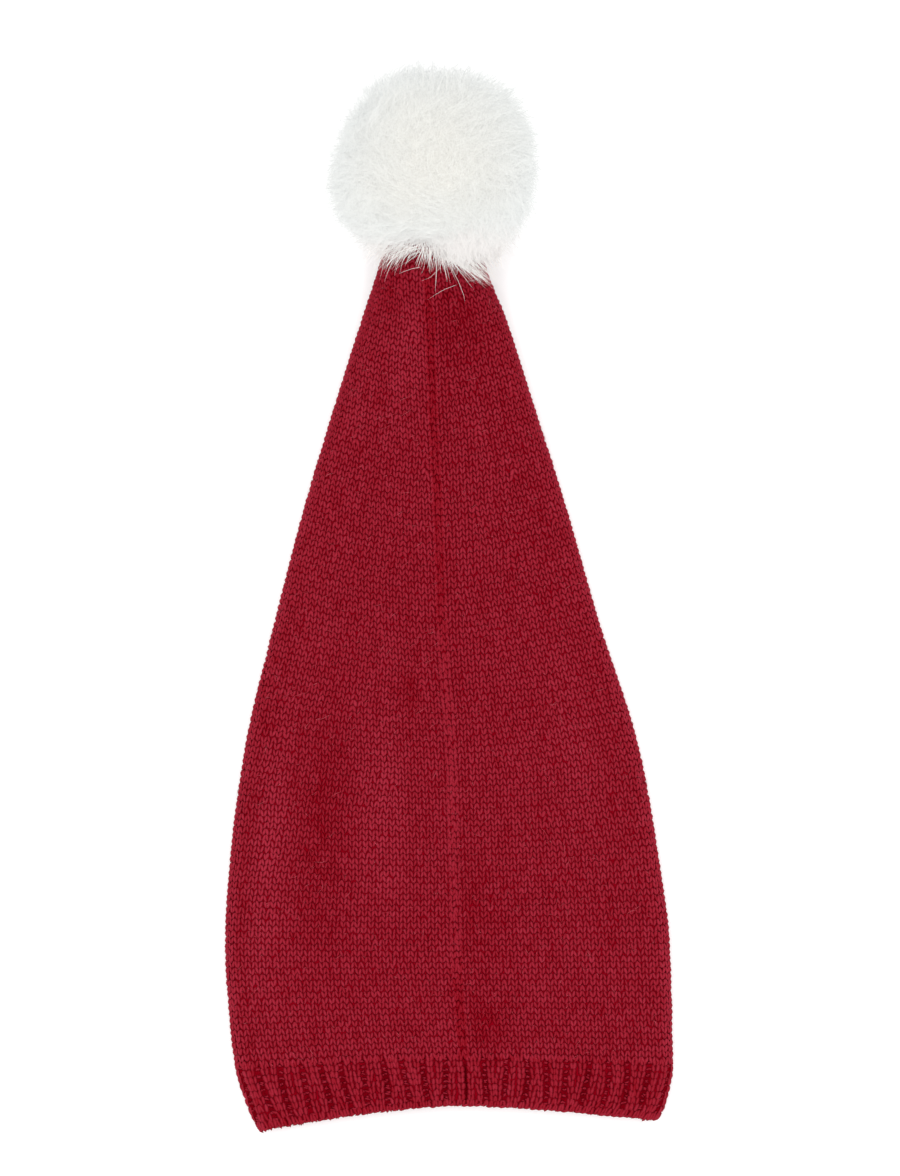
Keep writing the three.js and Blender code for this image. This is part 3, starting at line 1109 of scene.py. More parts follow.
@dataclass
class Crown:
    """The stocking-stitch cone: a closed cloth, its stitches, its seam and its loose fibres."""

    form: HatForm
    yarn: bpy.types.Material
    fuzz: bpy.types.Material
    backing: bpy.types.Material
    course_height: float = 2.8
    first_wales: int = 131
    pitch_hem: float = 3.45
    pitch_tip: float = 3.2
    smoothing: int = 4
    edge_share: float = 0.015
    part_shares: Pair = (0.272, 0.728)
    cloth_sink: float = 0.85
    rows: int = 64
    columns: int = 96
    stitch_tone: float = 0.5
    course_spread: float = 0.02
    wale_spread: float = 0.03
    stitch_spread: float = 0.1
    leg_spread: float = 0.07
    stitch_scatter: float = 1.35
    seam_columns: Pair = (-1.25, 1.25)
    seam_pitch: float = 3.0
    seam_stagger: float = 0.3
    seam_spread: float = 0.1
    seam_scatter: float = 1.5
    seam_raised: float = 0.1
    seam_half_width: float = 0.305
    # Painted highlight on the seam's raised ridge and painted shade in its groove.
    ridge_highlight: float = 0.5
    groove_shade: float = 0.08
    fibres: int = 3200
    fibre_tries: int = 3
    fibre_length: Pair = (1.6, 7.0)
    fibre_shortness: float = 5.0
    fibre_bend: float = 0.5
    fibre_steps: Triple = (0.0, 0.5, 1.0)
    fibre_heights: Triple = (-1.0, 1.0, 0.7)
    fibre_rise: float = 0.45
    fibre_rises: Pair = (0.3, 1.4)
    fibre_half_width: float = 0.055
    fibre_widths: Pair = (0.6, 2.0)
    fibre_softness: float = 0.9
    flat_width: float = 456.0
    flat_length: float = 412.0
    flat_area: float = 133_400.0
    seed: int = 11

    def __post_init__(self) -> None:
        """Lays out the wales before anything is made."""
        self.rng = np.random.default_rng(self.seed)
        length = self.form.end - self.form.rib_height
        self.courses = int(length / self.course_height) - 1
        self.shares, self.last = self._lay_wales()

    def _wale_counts(self) -> Array:
        """How many wales each course has.

        Returns:
            The numbers, which never grow on the way up.
        """
        along = self.form.rib_height + self.course_height * np.arange(self.courses + 1)
        pitch = np.interp(along, [along[0], along[-1]], [self.pitch_hem, self.pitch_tip])
        counts = np.minimum(np.round(self.form.girth(along) / pitch) - 1, self.first_wales)
        return np.minimum.accumulate(counts).astype(int)

    def _lay_wales(self) -> tuple[Array, Array]:
        """Places the wales, of which some end on the way up as the knit is narrowed.

        Returns:
            Each wale's share of the way round at each course, and the last course that it reaches.
        """
        counts = self._wale_counts()
        live = list(range(self.first_wales))
        shares = np.full((self.first_wales, len(counts)), np.nan)
        turn = 0.0
        for course, count in enumerate(counts):
            while len(live) > count:
                turn = (turn + GOLDEN_SHARE) % 1
                live.pop(int((self.edge_share + (1 - 2 * self.edge_share) * turn) * len(live)))
            shares[live, course] = (np.arange(len(live)) + 1) / (len(live) + 1)
        known = ~np.isnan(shares)
        window = np.ones(2 * self.smoothing + 1)
        sums = np.array([np.convolve(row, window, "same") for row in np.where(known, shares, 0)])
        number = np.array([np.convolve(row, window, "same") for row in known.astype(float)])
        return sums / np.maximum(number, 1), known.sum(axis=1) - 1

    def _arc(self, wales: Array, course: Array) -> Array:
        """Distances round the tube of wales at whole or part courses.

        Args:
            wales: Wale numbers, an entry for each leg.
            course: Courses, as legs by points.

        Returns:
            The arcs, as legs by points.
        """
        last = self.last[wales][:, None]
        low = np.clip(np.floor(course).astype(int), 0, last)
        high = np.clip(low + 1, 0, last)
        t = np.clip(course - low, 0, 1)
        wale = np.broadcast_to(wales[:, None], low.shape)
        share = self.shares[wale, low] * (1 - t) + self.shares[wale, high] * t
        return share * self.form.girth(self.form.rib_height + course * self.course_height)

    def _gaps(self) -> tuple[Array, Array]:
        """Shares between each wale and the next live one, course by course.

        Returns:
            The shares to its left and to its right.
        """
        left, right = (np.full(self.shares.shape, np.nan) for _ in range(2))
        for course in range(self.shares.shape[1]):
            live = np.nonzero(self.last >= course)[0]
            steps = np.diff(np.concatenate([[0], self.shares[live, course], [1]]))
            left[live, course] = steps[:-1]
            right[live, course] = steps[1:]
        return left, right

    def _tones(self, wales: Array, courses: Array) -> Array:
        """Each stitch's own tone: random, with faint bars along courses and wales.

        Args:
            wales: Each stitch's wale.
            courses: Each stitch's course.

        Returns:
            The tones, from zero to one.
        """
        bars = self.rng.normal(0, self.course_spread, self.courses + 1)[courses]
        stripes = self.rng.normal(0, self.wale_spread, self.first_wales)[wales]
        own = self.rng.normal(0, self.stitch_spread, len(wales))
        return np.clip(self.stitch_tone + bars + stripes + own, 0, 1)

    def build_cloth(self) -> bpy.types.Object:
        """The closed cloth under the stitches, whose inner face is the hat's inside.

        Returns:
            The cloth, which stands for the crown's solid.
        """
        along = np.linspace(self.form.rib_height, self.form.end, self.rows)
        share = np.arange(self.columns) / self.columns
        arc = share * self.form.girth(along)[:, None]
        outer = self.form.surface(along[:, None], arc, self.cloth_sink)
        inner = self.form.surface(along[:, None], arc, self.form.wall)
        rings = np.concatenate([outer, inner[::-1]])
        run = np.concatenate([along, along[::-1]])
        shape = wall_shape(rings, share * self.flat_width, run, np.zeros(rings.shape[:2]))
        cloth = shape.piece("crown_cloth", self.backing, Slot.KNIT)
        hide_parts("crown")
        return cloth

    def build_stitches(self) -> list[bpy.types.Object]:
        """Every stitch of the crown as two legs of yarn, joined part by part.

        Returns:
            The stitches' pieces.
        """
        wales, courses = np.nonzero(np.arange(self.courses)[None, :] <= self.last[:, None])
        tones = self._tones(wales, courses)
        girth = self.form.girth(self.form.rib_height + courses * self.course_height)
        left, right = (gap[wales, courses] * girth for gap in self._gaps())
        place = np.digitize(self.shares[wales, courses], self.part_shares)
        pieces = []
        for number, part in enumerate(Part):
            chosen = np.nonzero(place == number)[0]
            both = np.concatenate([chosen, chosen])
            legs = Legs(
                form=self.form,
                points=PLAIN_LEG if part is Part.UNDER else FULL_LEG,
                base=courses[both].astype(float),
                side=np.repeat([-1.0, 1.0], len(chosen)),
                pitch=np.concatenate([left[chosen], right[chosen]]),
                course_height=self.course_height,
                arc_at=lambda course, both=both: self._arc(wales[both], course),
                tones=np.clip(tones[both] + self.rng.normal(0, self.leg_spread, len(both)), 0, 1),
                rng=self.rng,
                scatter=self.stitch_scatter,
            )
            pieces.append(legs.tubes().shape().piece(f"crown_stitches_{part.value}", self.yarn, Slot.KNIT))
        return pieces

    def build_seam(self) -> bpy.types.Object:
        """The seam: the drawn-together edge stitches of both sides, which lie close and unevenly.

        Returns:
            The seam's piece.
        """
        offsets = np.tile(np.repeat(self.seam_columns, self.courses), 2)
        count = len(offsets)
        courses = np.tile(np.arange(self.courses), len(self.seam_columns))
        stagger = self.rng.uniform(-self.seam_stagger, self.seam_stagger, len(courses))
        base = np.tile(courses + stagger, 2)
        # Painted light and shade: the seam's stitches are lighter along its raised ridge and darker in its
        # groove.
        ridge = self.form.ridge_run.share(self.form.rib_height + base * self.course_height)
        light = self.groove_shade + (self.ridge_highlight - self.groove_shade) * ridge
        legs = Legs(
            form=self.form,
            points=FULL_LEG,
            base=base,
            side=np.repeat([-1.0, 1.0], count // 2),
            pitch=np.full(count, self.seam_pitch),
            course_height=self.course_height,
            arc_at=lambda course: np.broadcast_to(offsets[:, None], course.shape),
            tones=np.clip(light + self.rng.normal(0, self.seam_spread, count), 0, 1),
            rng=self.rng,
            scatter=self.seam_scatter,
            raised=self.seam_raised,
            half_width=self.seam_half_width,
        )
        return legs.tubes().shape().piece("crown_seam", self.yarn, Slot.KNIT)

    def build_fuzz(self) -> bpy.types.Object:
        """Loose fibres that stand off the knit, most of them short.

        Returns:
            The fibres' piece.
        """
        form, rng = self.form, self.rng
        steps = np.array(self.fibre_steps)
        along = rng.uniform(form.rib_height, form.end, self.fibre_tries * self.fibres)
        kept = rng.random(len(along)) * self.flat_width < form.girth(along)
        along = along[kept][: self.fibres, None]
        shortest, longest = self.fibre_length
        length = shortest + (longest - shortest) * rng.random(along.shape) ** self.fibre_shortness
        turn = rng.uniform(0, 2 * math.pi, along.shape)
        bend = rng.normal(0, self.fibre_bend, along.shape)
        ahead = length * (steps * np.cos(turn) + steps**2 * bend * np.sin(turn))
        aside = length * (steps * np.sin(turn) - steps**2 * bend * np.cos(turn))
        arc = rng.random(along.shape) * form.girth(along) + aside
        rise = self.fibre_rise * rng.uniform(*self.fibre_rises, along.shape)
        widths = self.fibre_half_width * rng.uniform(*self.fibre_widths, along.shape) * np.ones(steps.shape)
        along = np.clip(along + ahead, form.rib_height, form.end)
        spines = form.surface(along, arc, -rise * np.array(self.fibre_heights))
        facing = form.outward(along, arc)
        tubes = Tubes(
            spines,
            facing,
            widths,
            widths,
            tones=rng.random(len(along)),
            facing=facing,
            softness=self.fibre_softness,
            sides=3,
        )
        return tubes.shape().piece("crown_fuzz", self.fuzz, Slot.KNIT)

    def build(self) -> list[bpy.types.Object]:
        """Makes the crown's pieces.

        Returns:
            The pieces.
        """
        cloth = self.build_cloth()
        stitches = [*self.build_stitches(), self.build_seam(), self.build_fuzz()]
        flat = (self.flat_width * MM, self.flat_length * MM)
        area = self.flat_area * MM * MM
        return [cloth, *stitches]


@dataclass(frozen=True)
class Loop:
    """A kind of short loop of yarn that lies across the ribs.

    sink is the depth of its middle and droop how much deeper its ends lie. fullness is its share of full
    thickness from end to end, and thickness the least and most share of it that a loop has.
    """

    sink: float
    droop: float
    sink_spread: float
    fullness: tuple[float, ...]
    thickness: Pair
    tone: float
    tone_spread: float
    half_width: float
    half_height: float


PURL_BAR = Loop(
    sink=0.15,
    droop=0.5,
    sink_spread=0.12,
    fullness=(0.0, 0.8, 1.0, 0.8, 0.0),
    thickness=(0.7, 1.1),
    tone=0.42,
    tone_spread=0.16,
    half_width=0.72,
    half_height=0.55,
)

EDGE_LOOP = Loop(
    sink=0.85,
    droop=0.4,
    sink_spread=0.08,
    fullness=(0.0, 0.9, 1.0, 0.9, 0.0),
    thickness=(0.85, 1.1),
    tone=0.52,
    tone_spread=0.08,
    half_width=0.85,
    half_height=0.8,
)


@dataclass
class RibBand:
    """The ribbed hem: two knit wales stand as a rib, and one purl wale sinks as a furrow."""

    form: HatForm
    yarn: bpy.types.Material
    backing: bpy.types.Material
    course_height: float = 2.8
    edge_height: float = 1.8
    join_gap: float = 0.15
    wales_per_rib: int = 3
    wale_places: Pair = (0.325, 0.675)
    wale_share: float = 0.37
    slit_places: Pair = (0.24, 0.76)
    first_course: float = 0.55
    plain_course: float = -0.35
    stitch_tone: float = 0.36
    stitch_spread: float = 0.13
    stitch_scatter: float = 1.6
    stitch_half_width: float = 0.28
    purl_start: float = 3.6
    purl_arch: float = 0.55
    purl_tilt: float = 0.25
    purl_stray: float = 0.25
    purl_reach: Pair = (0.8, 1.3)
    edge_reach: float = 0.68
    edge_slant: float = 0.55
    edge_stray: float = 0.16
    cloth_sink: float = 0.75
    inner_relief: float = 0.4
    points_per_rib: int = 8
    rows: int = 9
    flat_width: float = 448.0
    seed: int = 23

    def __post_init__(self) -> None:
        """Seeds the band's scatter."""
        self.rng = np.random.default_rng(self.seed)

    def _arc(self, share: Array, along: Array) -> Array:
        """Distances round the tube of places that sway with the ribs.

        Args:
            share: Places as shares of the way round.
            along: Distances up the hat.

        Returns:
            The arcs.
        """
        place = share * self.form.rib_count
        sway = self.form.rib_sway(along, np.round(place) % self.form.rib_count)
        return (place + sway) / self.form.rib_count * self.form.girth(along)

    def build_cloth(self) -> bpy.types.Object:
        """The closed cloth under the ribs' stitches.

        Returns:
            The cloth, which stands for the band's solid.
        """
        form = self.form
        along = np.linspace(self.edge_height / 2, form.rib_height - self.join_gap, self.rows)
        columns = form.rib_count * self.points_per_rib
        share = np.arange(columns) / columns
        arc = share * form.girth(along)[:, None]
        outer = form.surface(along[:, None], arc, self.cloth_sink)
        depth = form.furrow(along[:, None], arc)
        relief = (1 - self.inner_relief) * depth
        inner = form.surface(along[:, None], arc, form.wall - relief)
        rings = np.concatenate([outer, inner[::-1]])
        run = np.concatenate([along, along[::-1]])
        # How much painted shade each point of the cloth takes, by the depth of its furrow.
        furrow = np.concatenate([np.minimum(depth / form.rib_depth, 1), np.zeros(depth.shape)])
        shape = wall_shape(rings, share * self.flat_width, run, furrow)
        cloth = shape.piece("rib_cloth", self.backing, Slot.KNIT)
        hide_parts("rib_band")
        return cloth

    def build_stitches(self) -> bpy.types.Object:
        """The two knit wales of every rib, drawn together over the seam's slit, and a plain first course.

        Returns:
            The stitches' piece.
        """
        form = self.form
        place = np.arange(form.rib_count)[:, None] + np.array(self.wale_places)
        place[0, 0] = self.slit_places[0]
        place[-1, 1] = form.rib_count - 1 + self.slit_places[1]
        first = self.edge_height / self.course_height - form.rib_height / self.course_height
        courses = np.arange(first + self.first_course, 0, 1.0)
        share, base = np.meshgrid(place.ravel() / form.rib_count, courses, indexing="ij")
        wales = self.wales_per_rib * form.rib_count
        plain = (np.arange(wales) + 0.5) / wales
        share = np.tile(np.concatenate([share.ravel(), plain]), 2)
        base = np.tile(np.concatenate([base.ravel(), np.full(wales, first + self.plain_course)]), 2)
        girth = form.girth(form.rib_height + base * self.course_height)
        legs = Legs(
            form=form,
            points=RIB_LEG,
            base=base,
            side=np.repeat([-1.0, 1.0], len(share) // 2),
            pitch=self.wale_share * girth / form.rib_count,
            course_height=self.course_height,
            arc_at=lambda course: self._arc(share[:, None], form.rib_height + course * self.course_height),
            tones=np.clip(self.rng.normal(self.stitch_tone, self.stitch_spread, len(share)), 0, 1),
            rng=self.rng,
            scatter=self.stitch_scatter,
            half_width=self.stitch_half_width,
        )
        return legs.tubes().shape().piece("rib_stitches", self.yarn, Slot.KNIT)

    def _loops(self, loop: Loop, along: Array, arc: Array, steps: Array) -> Shape:
        """Short loops of yarn that lie in the band's face.

        Args:
            loop: Their kind.
            along: Distances up the hat, as loops by points.
            arc: Distances round the tube, as loops by points.
            steps: The points' places from end to end, with the middle at zero.

        Returns:
            The loops as one shape.
        """
        count = len(along)
        sink = loop.sink + loop.droop * steps**2 + self.rng.normal(0, loop.sink_spread, (count, 1))
        fullness = np.array(loop.fullness) * self.rng.uniform(*loop.thickness, (count, 1))
        tones = np.clip(self.rng.normal(loop.tone, loop.tone_spread, count), 0, 1)
        spines = self.form.surface(along, arc, sink)
        widths, heights = loop.half_width * fullness, loop.half_height * fullness
        return Tubes(spines, self.form.outward(along, arc), widths, heights, tones).shape()

    def build_purls(self) -> bpy.types.Object:
        """The small uneven bars of the purl wale in every furrow but the seam's slit.

        Returns:
            The bars' piece.
        """
        form = self.form
        along = np.arange(self.purl_start, form.rib_height, self.course_height / 2)
        furrows = np.arange(1, form.rib_count) / form.rib_count
        share, middle = (grid.ravel() for grid in np.meshgrid(furrows, along, indexing="ij"))
        count = len(share)
        steps = np.linspace(-1, 1, len(PURL_BAR.fullness))
        way = np.where(np.arange(count) % 2 == 0, 1.0, -1.0)[:, None]
        arch = self.purl_arch * way * (1 - steps**2)
        height = middle[:, None] + arch + self.rng.normal(0, self.purl_tilt, (count, 1)) * (1 + steps)
        stray = self.rng.normal(0, self.purl_stray, (count, 1))
        aside = stray + self.rng.uniform(*self.purl_reach, (count, 1)) * steps
        arc = self._arc(share, middle)[:, None] + aside
        return self._loops(PURL_BAR, height, arc, steps).piece("rib_purls", self.yarn, Slot.KNIT)

    def build_edge(self) -> bpy.types.Object:
        """The cast-on edge: one fat slanting loop of yarn for each wale round the hem.

        Returns:
            The edge's piece.
        """
        count = self.wales_per_rib * self.form.rib_count
        steps = np.linspace(-self.edge_reach, self.edge_reach, len(EDGE_LOOP.fullness))
        place = (np.arange(count)[:, None] + steps) / count
        along = self.edge_height * (0.5 + self.edge_slant * steps)
        along = along + self.rng.normal(0, self.edge_stray, (count, 1))
        arc = place * self.form.girth(np.maximum(along, 0))
        return self._loops(EDGE_LOOP, along, arc, steps).piece("rib_edge", self.yarn, Slot.KNIT)

    def build(self) -> list[bpy.types.Object]:
        """Makes the band's pieces.

        Returns:
            The pieces.
        """
        cloth = self.build_cloth()
        stitches = [self.build_stitches(), self.build_purls(), self.build_edge()]
        flat = (self.flat_width * MM, self.form.rib_height * MM)
        return [cloth, *stitches]


# The pompom

@dataclass(frozen=True)
class Bulge:
    """A place where the fur stands out or in.

    turn is its direction in plan, in degrees from +X, and half_width its reach to each side. share is how
    much longer the fur is there, and wisp how much more the hairs' lengths vary.
    """

    turn: float
    half_width: float
    share: float = 0.0
    wisp: float = 0.0


@dataclass(frozen=True)
class Tuft:
    """A bundle of the fringe, in plan: the lines that its roots and its tips lie on, and its hairs.

    scatter spreads the tips. swing is how soon the hairs go sideways and down: below one for soon, above
    one for late.
    """

    roots: tuple[Pair, Pair]
    tips: tuple[Pair, Pair]
    scatter: float
    hairs: int
    fineness: float
    swing: Pair = (1.0, 1.0)


@dataclass(frozen=True)
class Stray:
    """A single long hair over the crown, through three places in plan."""

    start: Pair
    middle: Pair
    end: Pair
    fineness: float = 0.6


@dataclass(frozen=True)
class Layer:
    """A layer of the pile.

    steps are shares of a hair's length at its spine points, reach is how far the few longest hairs stand
    from the ball's middle, shortening how much of that the others may lack, and fineness their share of
    the pile's usual thickness.
    """

    hairs: int
    steps: tuple[float, ...]
    reach: float
    shortening: float
    fineness: float


TUFTS = (
    Tuft(
        roots=((-39, 178), (-28, 174)),
        tips=((-42, 168), (-36, 163)),
        scatter=1.8,
        hairs=50,
        fineness=0.75,
    ),
    Tuft(
        roots=((-30, 173), (-13, 173)),
        tips=((-39, 162), (-26, 163)),
        scatter=2.6,
        hairs=70,
        fineness=1.0,
        swing=(0.75, 1.7),
    ),
    Tuft(
        roots=((-16, 174), (-4, 172)),
        tips=((-18, 165), (-2, 163)),
        scatter=3.0,
        hairs=70,
        fineness=1.0,
    ),
    Tuft(
        roots=((-5, 172), (2, 170)),
        tips=((0, 158), (12, 160)),
        scatter=2.6,
        hairs=60,
        fineness=1.0,
    ),
    Tuft(
        roots=((-2, 171), (24, 178)),
        tips=((16, 157.5), (27, 166)),
        scatter=1.4,
        hairs=420,
        fineness=0.8,
    ),
    Tuft(
        roots=((-3, 171), (2, 169.5)),
        tips=((15, 159), (21, 155.5)),
        scatter=0.9,
        hairs=70,
        fineness=0.75,
    ),
)

STRAYS = (
    Stray(start=(-2.1, 169.4), middle=(8.4, 151.5), end=(7.9, 146.1)),
    Stray(start=(3.8, 155.1), middle=(-4.0, 153.0), end=(-10.4, 147.7), fineness=0.5),
    Stray(start=(-2.1, 170.0), middle=(-3.6, 160.0), end=(-14.3, 156.5)),
    Stray(start=(-12.7, 171.0), middle=(-20.5, 167.0), end=(-29.2, 161.0)),
    Stray(start=(-13.9, 163.9), middle=(-19.9, 163.1), end=(-25.0, 160.4)),
    Stray(start=(-23.8, 171.0), middle=(-30.0, 167.0), end=(-33.3, 161.6)),
    Stray(start=(-25.6, 172.0), middle=(-32.0, 169.0), end=(-34.8, 162.1)),
    Stray(start=(0.2, 169.0), middle=(6.0, 160.5), end=(13.2, 155.6)),
    Stray(start=(-11.5, 172.0), middle=(-11.0, 165.0), end=(-13.9, 160.0)),
    Stray(start=(-8.0, 171.0), middle=(-6.5, 165.0), end=(-8.4, 161.0)),
    Stray(start=(1.0, 169.5), middle=(10.0, 164.0), end=(21.6, 154.6)),
    Stray(start=(15.5, 159.0), middle=(12.0, 156.0), end=(7.5, 157.5), fineness=0.5),
)

BULGES = (
    Bulge(turn=48, half_width=26, share=0.1, wisp=0.4),
    Bulge(turn=88, half_width=22, share=-0.055),
    Bulge(turn=116, half_width=16, share=0.045),
    Bulge(turn=157, half_width=20, share=-0.06),
    Bulge(turn=-152, half_width=20, share=0.075),
    Bulge(turn=-122, half_width=12, share=0.06),
    Bulge(turn=-98, half_width=17, share=-0.18),
    Bulge(turn=-62, half_width=16, share=0.12),
    Bulge(turn=-34, half_width=22, share=0.09),
    Bulge(turn=108, half_width=48, wisp=0.7),
)

LONG_LAYER = Layer(hairs=16_000, steps=(0.0, 0.4, 0.76, 1.0), reach=56.4, shortening=0.17, fineness=0.95)
SHORT_LAYER = Layer(hairs=31_000, steps=(0.0, 0.52, 1.0), reach=52.0, shortening=0.14, fineness=1.2)


@dataclass
class Pompom:
    """The fur ball at the tip: a padded head, its pile, and the fringe that lies over the crown."""

    form: HatForm
    fur: bpy.types.Material
    under_fur: bpy.types.Material
    fringe: bpy.types.Material
    centre: Triple = (-8.2, 214.7, 46.0)
    width_share: float = 1.03
    head_radius: float = 43.5
    head_splits: int = 5
    lumpiness: float = 0.012
    pocket_radius: float = 28.0
    pocket_way: Triple = (0.0, -0.8, -0.6)
    pocket_span: Pair = (30.0, 55.0)
    root_share: float = 0.95
    upturn: float = 2.6
    softness: float = 0.94
    locks: int = 900
    lock_width: float = 1.6
    root_scatter: float = 0.8
    tip_scatter: float = 0.35
    flow_share: float = 0.4
    flow_waves: Triple = (3.1, 2.3, 2.0)
    flow_fall: float = 0.5
    flow_ripple: float = 0.4
    lean: float = 0.28
    own_lean: float = 0.16
    lean_power: float = 1.7
    clump: float = 0.22
    length_power: float = 3.0
    rise_power: float = 0.9
    root_width: float = 0.13
    hair_tip: float = 0.03
    hair_spread: Pair = (0.7, 1.25)
    girdle_tone: float = 0.8
    clearance: float = 0.5
    tip_squareness: int = 4
    floor_gap: float = 0.3
    # The painted red reflection on hairs near and over the crown, fading up the hat.
    red_bounce_y: float = 173.0
    red_bounce_fade: float = 24.0
    red_bounce_there: float = 0.35
    red_bounce_most: float = 0.5
    fringe_steps: tuple[float, ...] = (0.0, 0.05, 0.4, 0.72, 1.0)
    fringe_end: float = 41.0
    fringe_spread: float = 1.0
    fringe_length: Pair = (0.35, 0.75)
    fringe_extra: float = 0.85
    stray_height: float = 38.0
    stray_fall: float = 6.0
    pile_taper: float = 1.8
    fringe_taper: float = 4.0
    seed: int = 5

    def __post_init__(self) -> None:
        """Seeds the fur's scatter and sets its locks."""
        self.rng = np.random.default_rng(self.seed)
        self.middle = np.array(self.centre)
        self.stretch = np.array([self.width_share, 1, 1])
        self.lock_ways = self._spiral(self.locks)
        sway = self.rng.normal(0, 1, (self.locks, 3))
        x, y, _ = self.lock_ways.T
        side_wave, end_wave, fall_wave = self.flow_waves
        fall = -self.flow_fall - self.flow_ripple * np.sin(fall_wave * x)
        flow = np.stack([np.sin(side_wave * y), np.cos(end_wave * x), fall], axis=1)
        lean = (1 - self.flow_share) * unit(sway) + self.flow_share * flow
        along = np.sum(lean * self.lock_ways, axis=1, keepdims=True)
        self.lock_leans = lean - along * self.lock_ways

    @staticmethod
    def _spiral(count: int) -> Array:
        """Evenly spread directions.

        Args:
            count: How many.

        Returns:
            Vectors of length one.
        """
        k = np.arange(count)
        height = 1 - (2 * k + 1) / count
        ring = np.sqrt(1 - height**2)
        turn = 2 * math.pi * GOLDEN_SHARE * k
        return np.stack([ring * np.cos(turn), ring * np.sin(turn), height], axis=1)

    def _head_reach(self, ways: Array) -> Array:
        """The head's radius, drawn in with the fur and where the crown's tip sits.

        Args:
            ways: Directions from the ball's middle.

        Returns:
            The radius in each direction.
        """
        aside = np.degrees(np.arccos(np.clip(ways @ unit(np.array(self.pocket_way)), -1, 1)))
        full = smoothstep(*self.pocket_span, aside)
        whole = self.head_radius * np.minimum(self._bulging("share", ways), 1)
        return self.pocket_radius + (whole - self.pocket_radius) * full

    @staticmethod
    def _bulging(column: str, ways: Array) -> Array:
        """One plus a column of the table of bulges.

        Args:
            column: The column's name.
            ways: Directions from the ball's middle.

        Returns:
            The sum in each direction.
        """
        turn = np.degrees(np.arctan2(ways[:, 1], ways[:, 0]))
        level = np.sqrt(np.maximum(1 - ways[:, 2] ** 2, 0))
        share = np.ones(len(ways))
        for bulge in BULGES:
            aside = (turn - bulge.turn + FULL_TURN / 2) % FULL_TURN - FULL_TURN / 2
            near = np.exp(-((aside / bulge.half_width) ** 2))
            share = share + getattr(bulge, column) * level**2 * near
        return share

    def _facing(self, points: Array) -> Array:
        """The way that the soft whole faces at each point: outwards, and up to the light."""
        return unit(unit(points - self.middle) + np.array([0, 0, self.upturn]))

    def _settle(self, points: Array) -> Array:
        """Keeps hairs off the surface below and out of the crown's tip.

        Args:
            points: Positions, with a last axis of three.

        Returns:
            The positions, moved where they had to be.
        """
        form = self.form
        along = np.clip(points[..., 1] - form.hem_y, 0, form.end)
        left, right = form.column("left", along), form.column("right", along)
        lift, loft = form.column("lift", along), form.column("loft", along)
        across = (points[..., 0] - (left + right) / 2) / ((right - left) / 2 + self.clearance)
        rounding = np.sqrt(np.maximum(1 - np.abs(across) ** self.tip_squareness, 0))
        rounding = rounding * (loft / 2 + self.clearance)
        middle = lift + loft / 2
        dome = form.column("dome", along) * np.maximum(1 - across**2, 0)
        within = (np.abs(across) < 1) & (points[..., 1] - form.hem_y < form.end)
        inside = within & (np.abs(points[..., 2] - middle) < rounding + dome)
        above = points[..., 2] >= middle
        seat = np.where(above, middle + rounding + dome, middle - rounding)
        settled = points.copy()
        settled[..., 2] = np.maximum(np.where(inside, seat, points[..., 2]), self.floor_gap)
        return settled

    def build_head(self) -> bpy.types.Object:
        """The round head that the fur grows from, lumpy with its short under-pile.

        Returns:
            The head, which stands for the pompom's solid.
        """
        ball = bmesh.new()
        bmesh.ops.create_icosphere(ball, subdivisions=self.head_splits, radius=1.0)
        ways = np.array([vertex.co for vertex in ball.verts])
        faces = np.array([[vertex.index for vertex in face.verts] for face in ball.faces])
        ball.free()
        radius = self._head_reach(ways) * self.rng.normal(1, self.lumpiness, len(ways))
        points = self.middle + ways * radius[:, None] * self.stretch
        points[:, 2] = np.maximum(points[:, 2], self.clearance)
        none = np.zeros(len(points))
        numbers = {"reach": none, "red_bounce": none, "tone": 1 - ways[:, 2] ** 2}
        shape = Shape(points, [faces], {}, numbers, self._facing(points))
        # The head's darker under-fur is painted shade between the hairs.
        head = shape.piece("pompom_head", self.under_fur, Slot.FUR)
        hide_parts("pompom")
        return head

    def _hairs(self, layer: Layer) -> Tubes:
        """One layer of the pile.

        Args:
            layer: Its sizes.

        Returns:
            The hairs as tubes.
        """
        rng, count = self.rng, layer.hairs
        steps = np.array(layer.steps)
        lock = rng.integers(0, self.locks, count)
        # A disc as large as one lock's part of a ball of radius one has the radius sqrt(4 / locks)
        cap = self.lock_width * math.sqrt(4 / self.locks)
        roots = unit(self.lock_ways[lock] + cap * rng.normal(0, self.root_scatter, (count, 3)))
        tips = unit(self.lock_ways[lock] + cap * rng.normal(0, self.tip_scatter, (count, 3)))
        own = self.own_lean * rng.normal(0, 1, (count, 3))
        lean = self.lean * (self.lock_leans[lock] + own)
        lack = layer.shortening * self._bulging("wisp", tips) * (1 - rng.random(count) ** self.length_power)
        reach = layer.reach * self._bulging("share", tips) * (1 - lack)
        t = steps[None, :, None]
        way = roots[:, None] * (1 - self.clump * t) + tips[:, None] * self.clump * t
        way = unit(way + lean[:, None] * t**self.lean_power)
        foot = self.root_share * self._head_reach(roots)[:, None]
        radius = foot + (reach[:, None] - foot) * np.sin(steps * math.pi / 2) ** self.rise_power
        points = self._settle(self.middle + way * radius[..., None] * self.stretch)
        girdle = 1 - tips[:, 2] ** 2
        return self._hair_tubes(points, steps, np.full(count, layer.fineness), self.pile_taper, girdle)

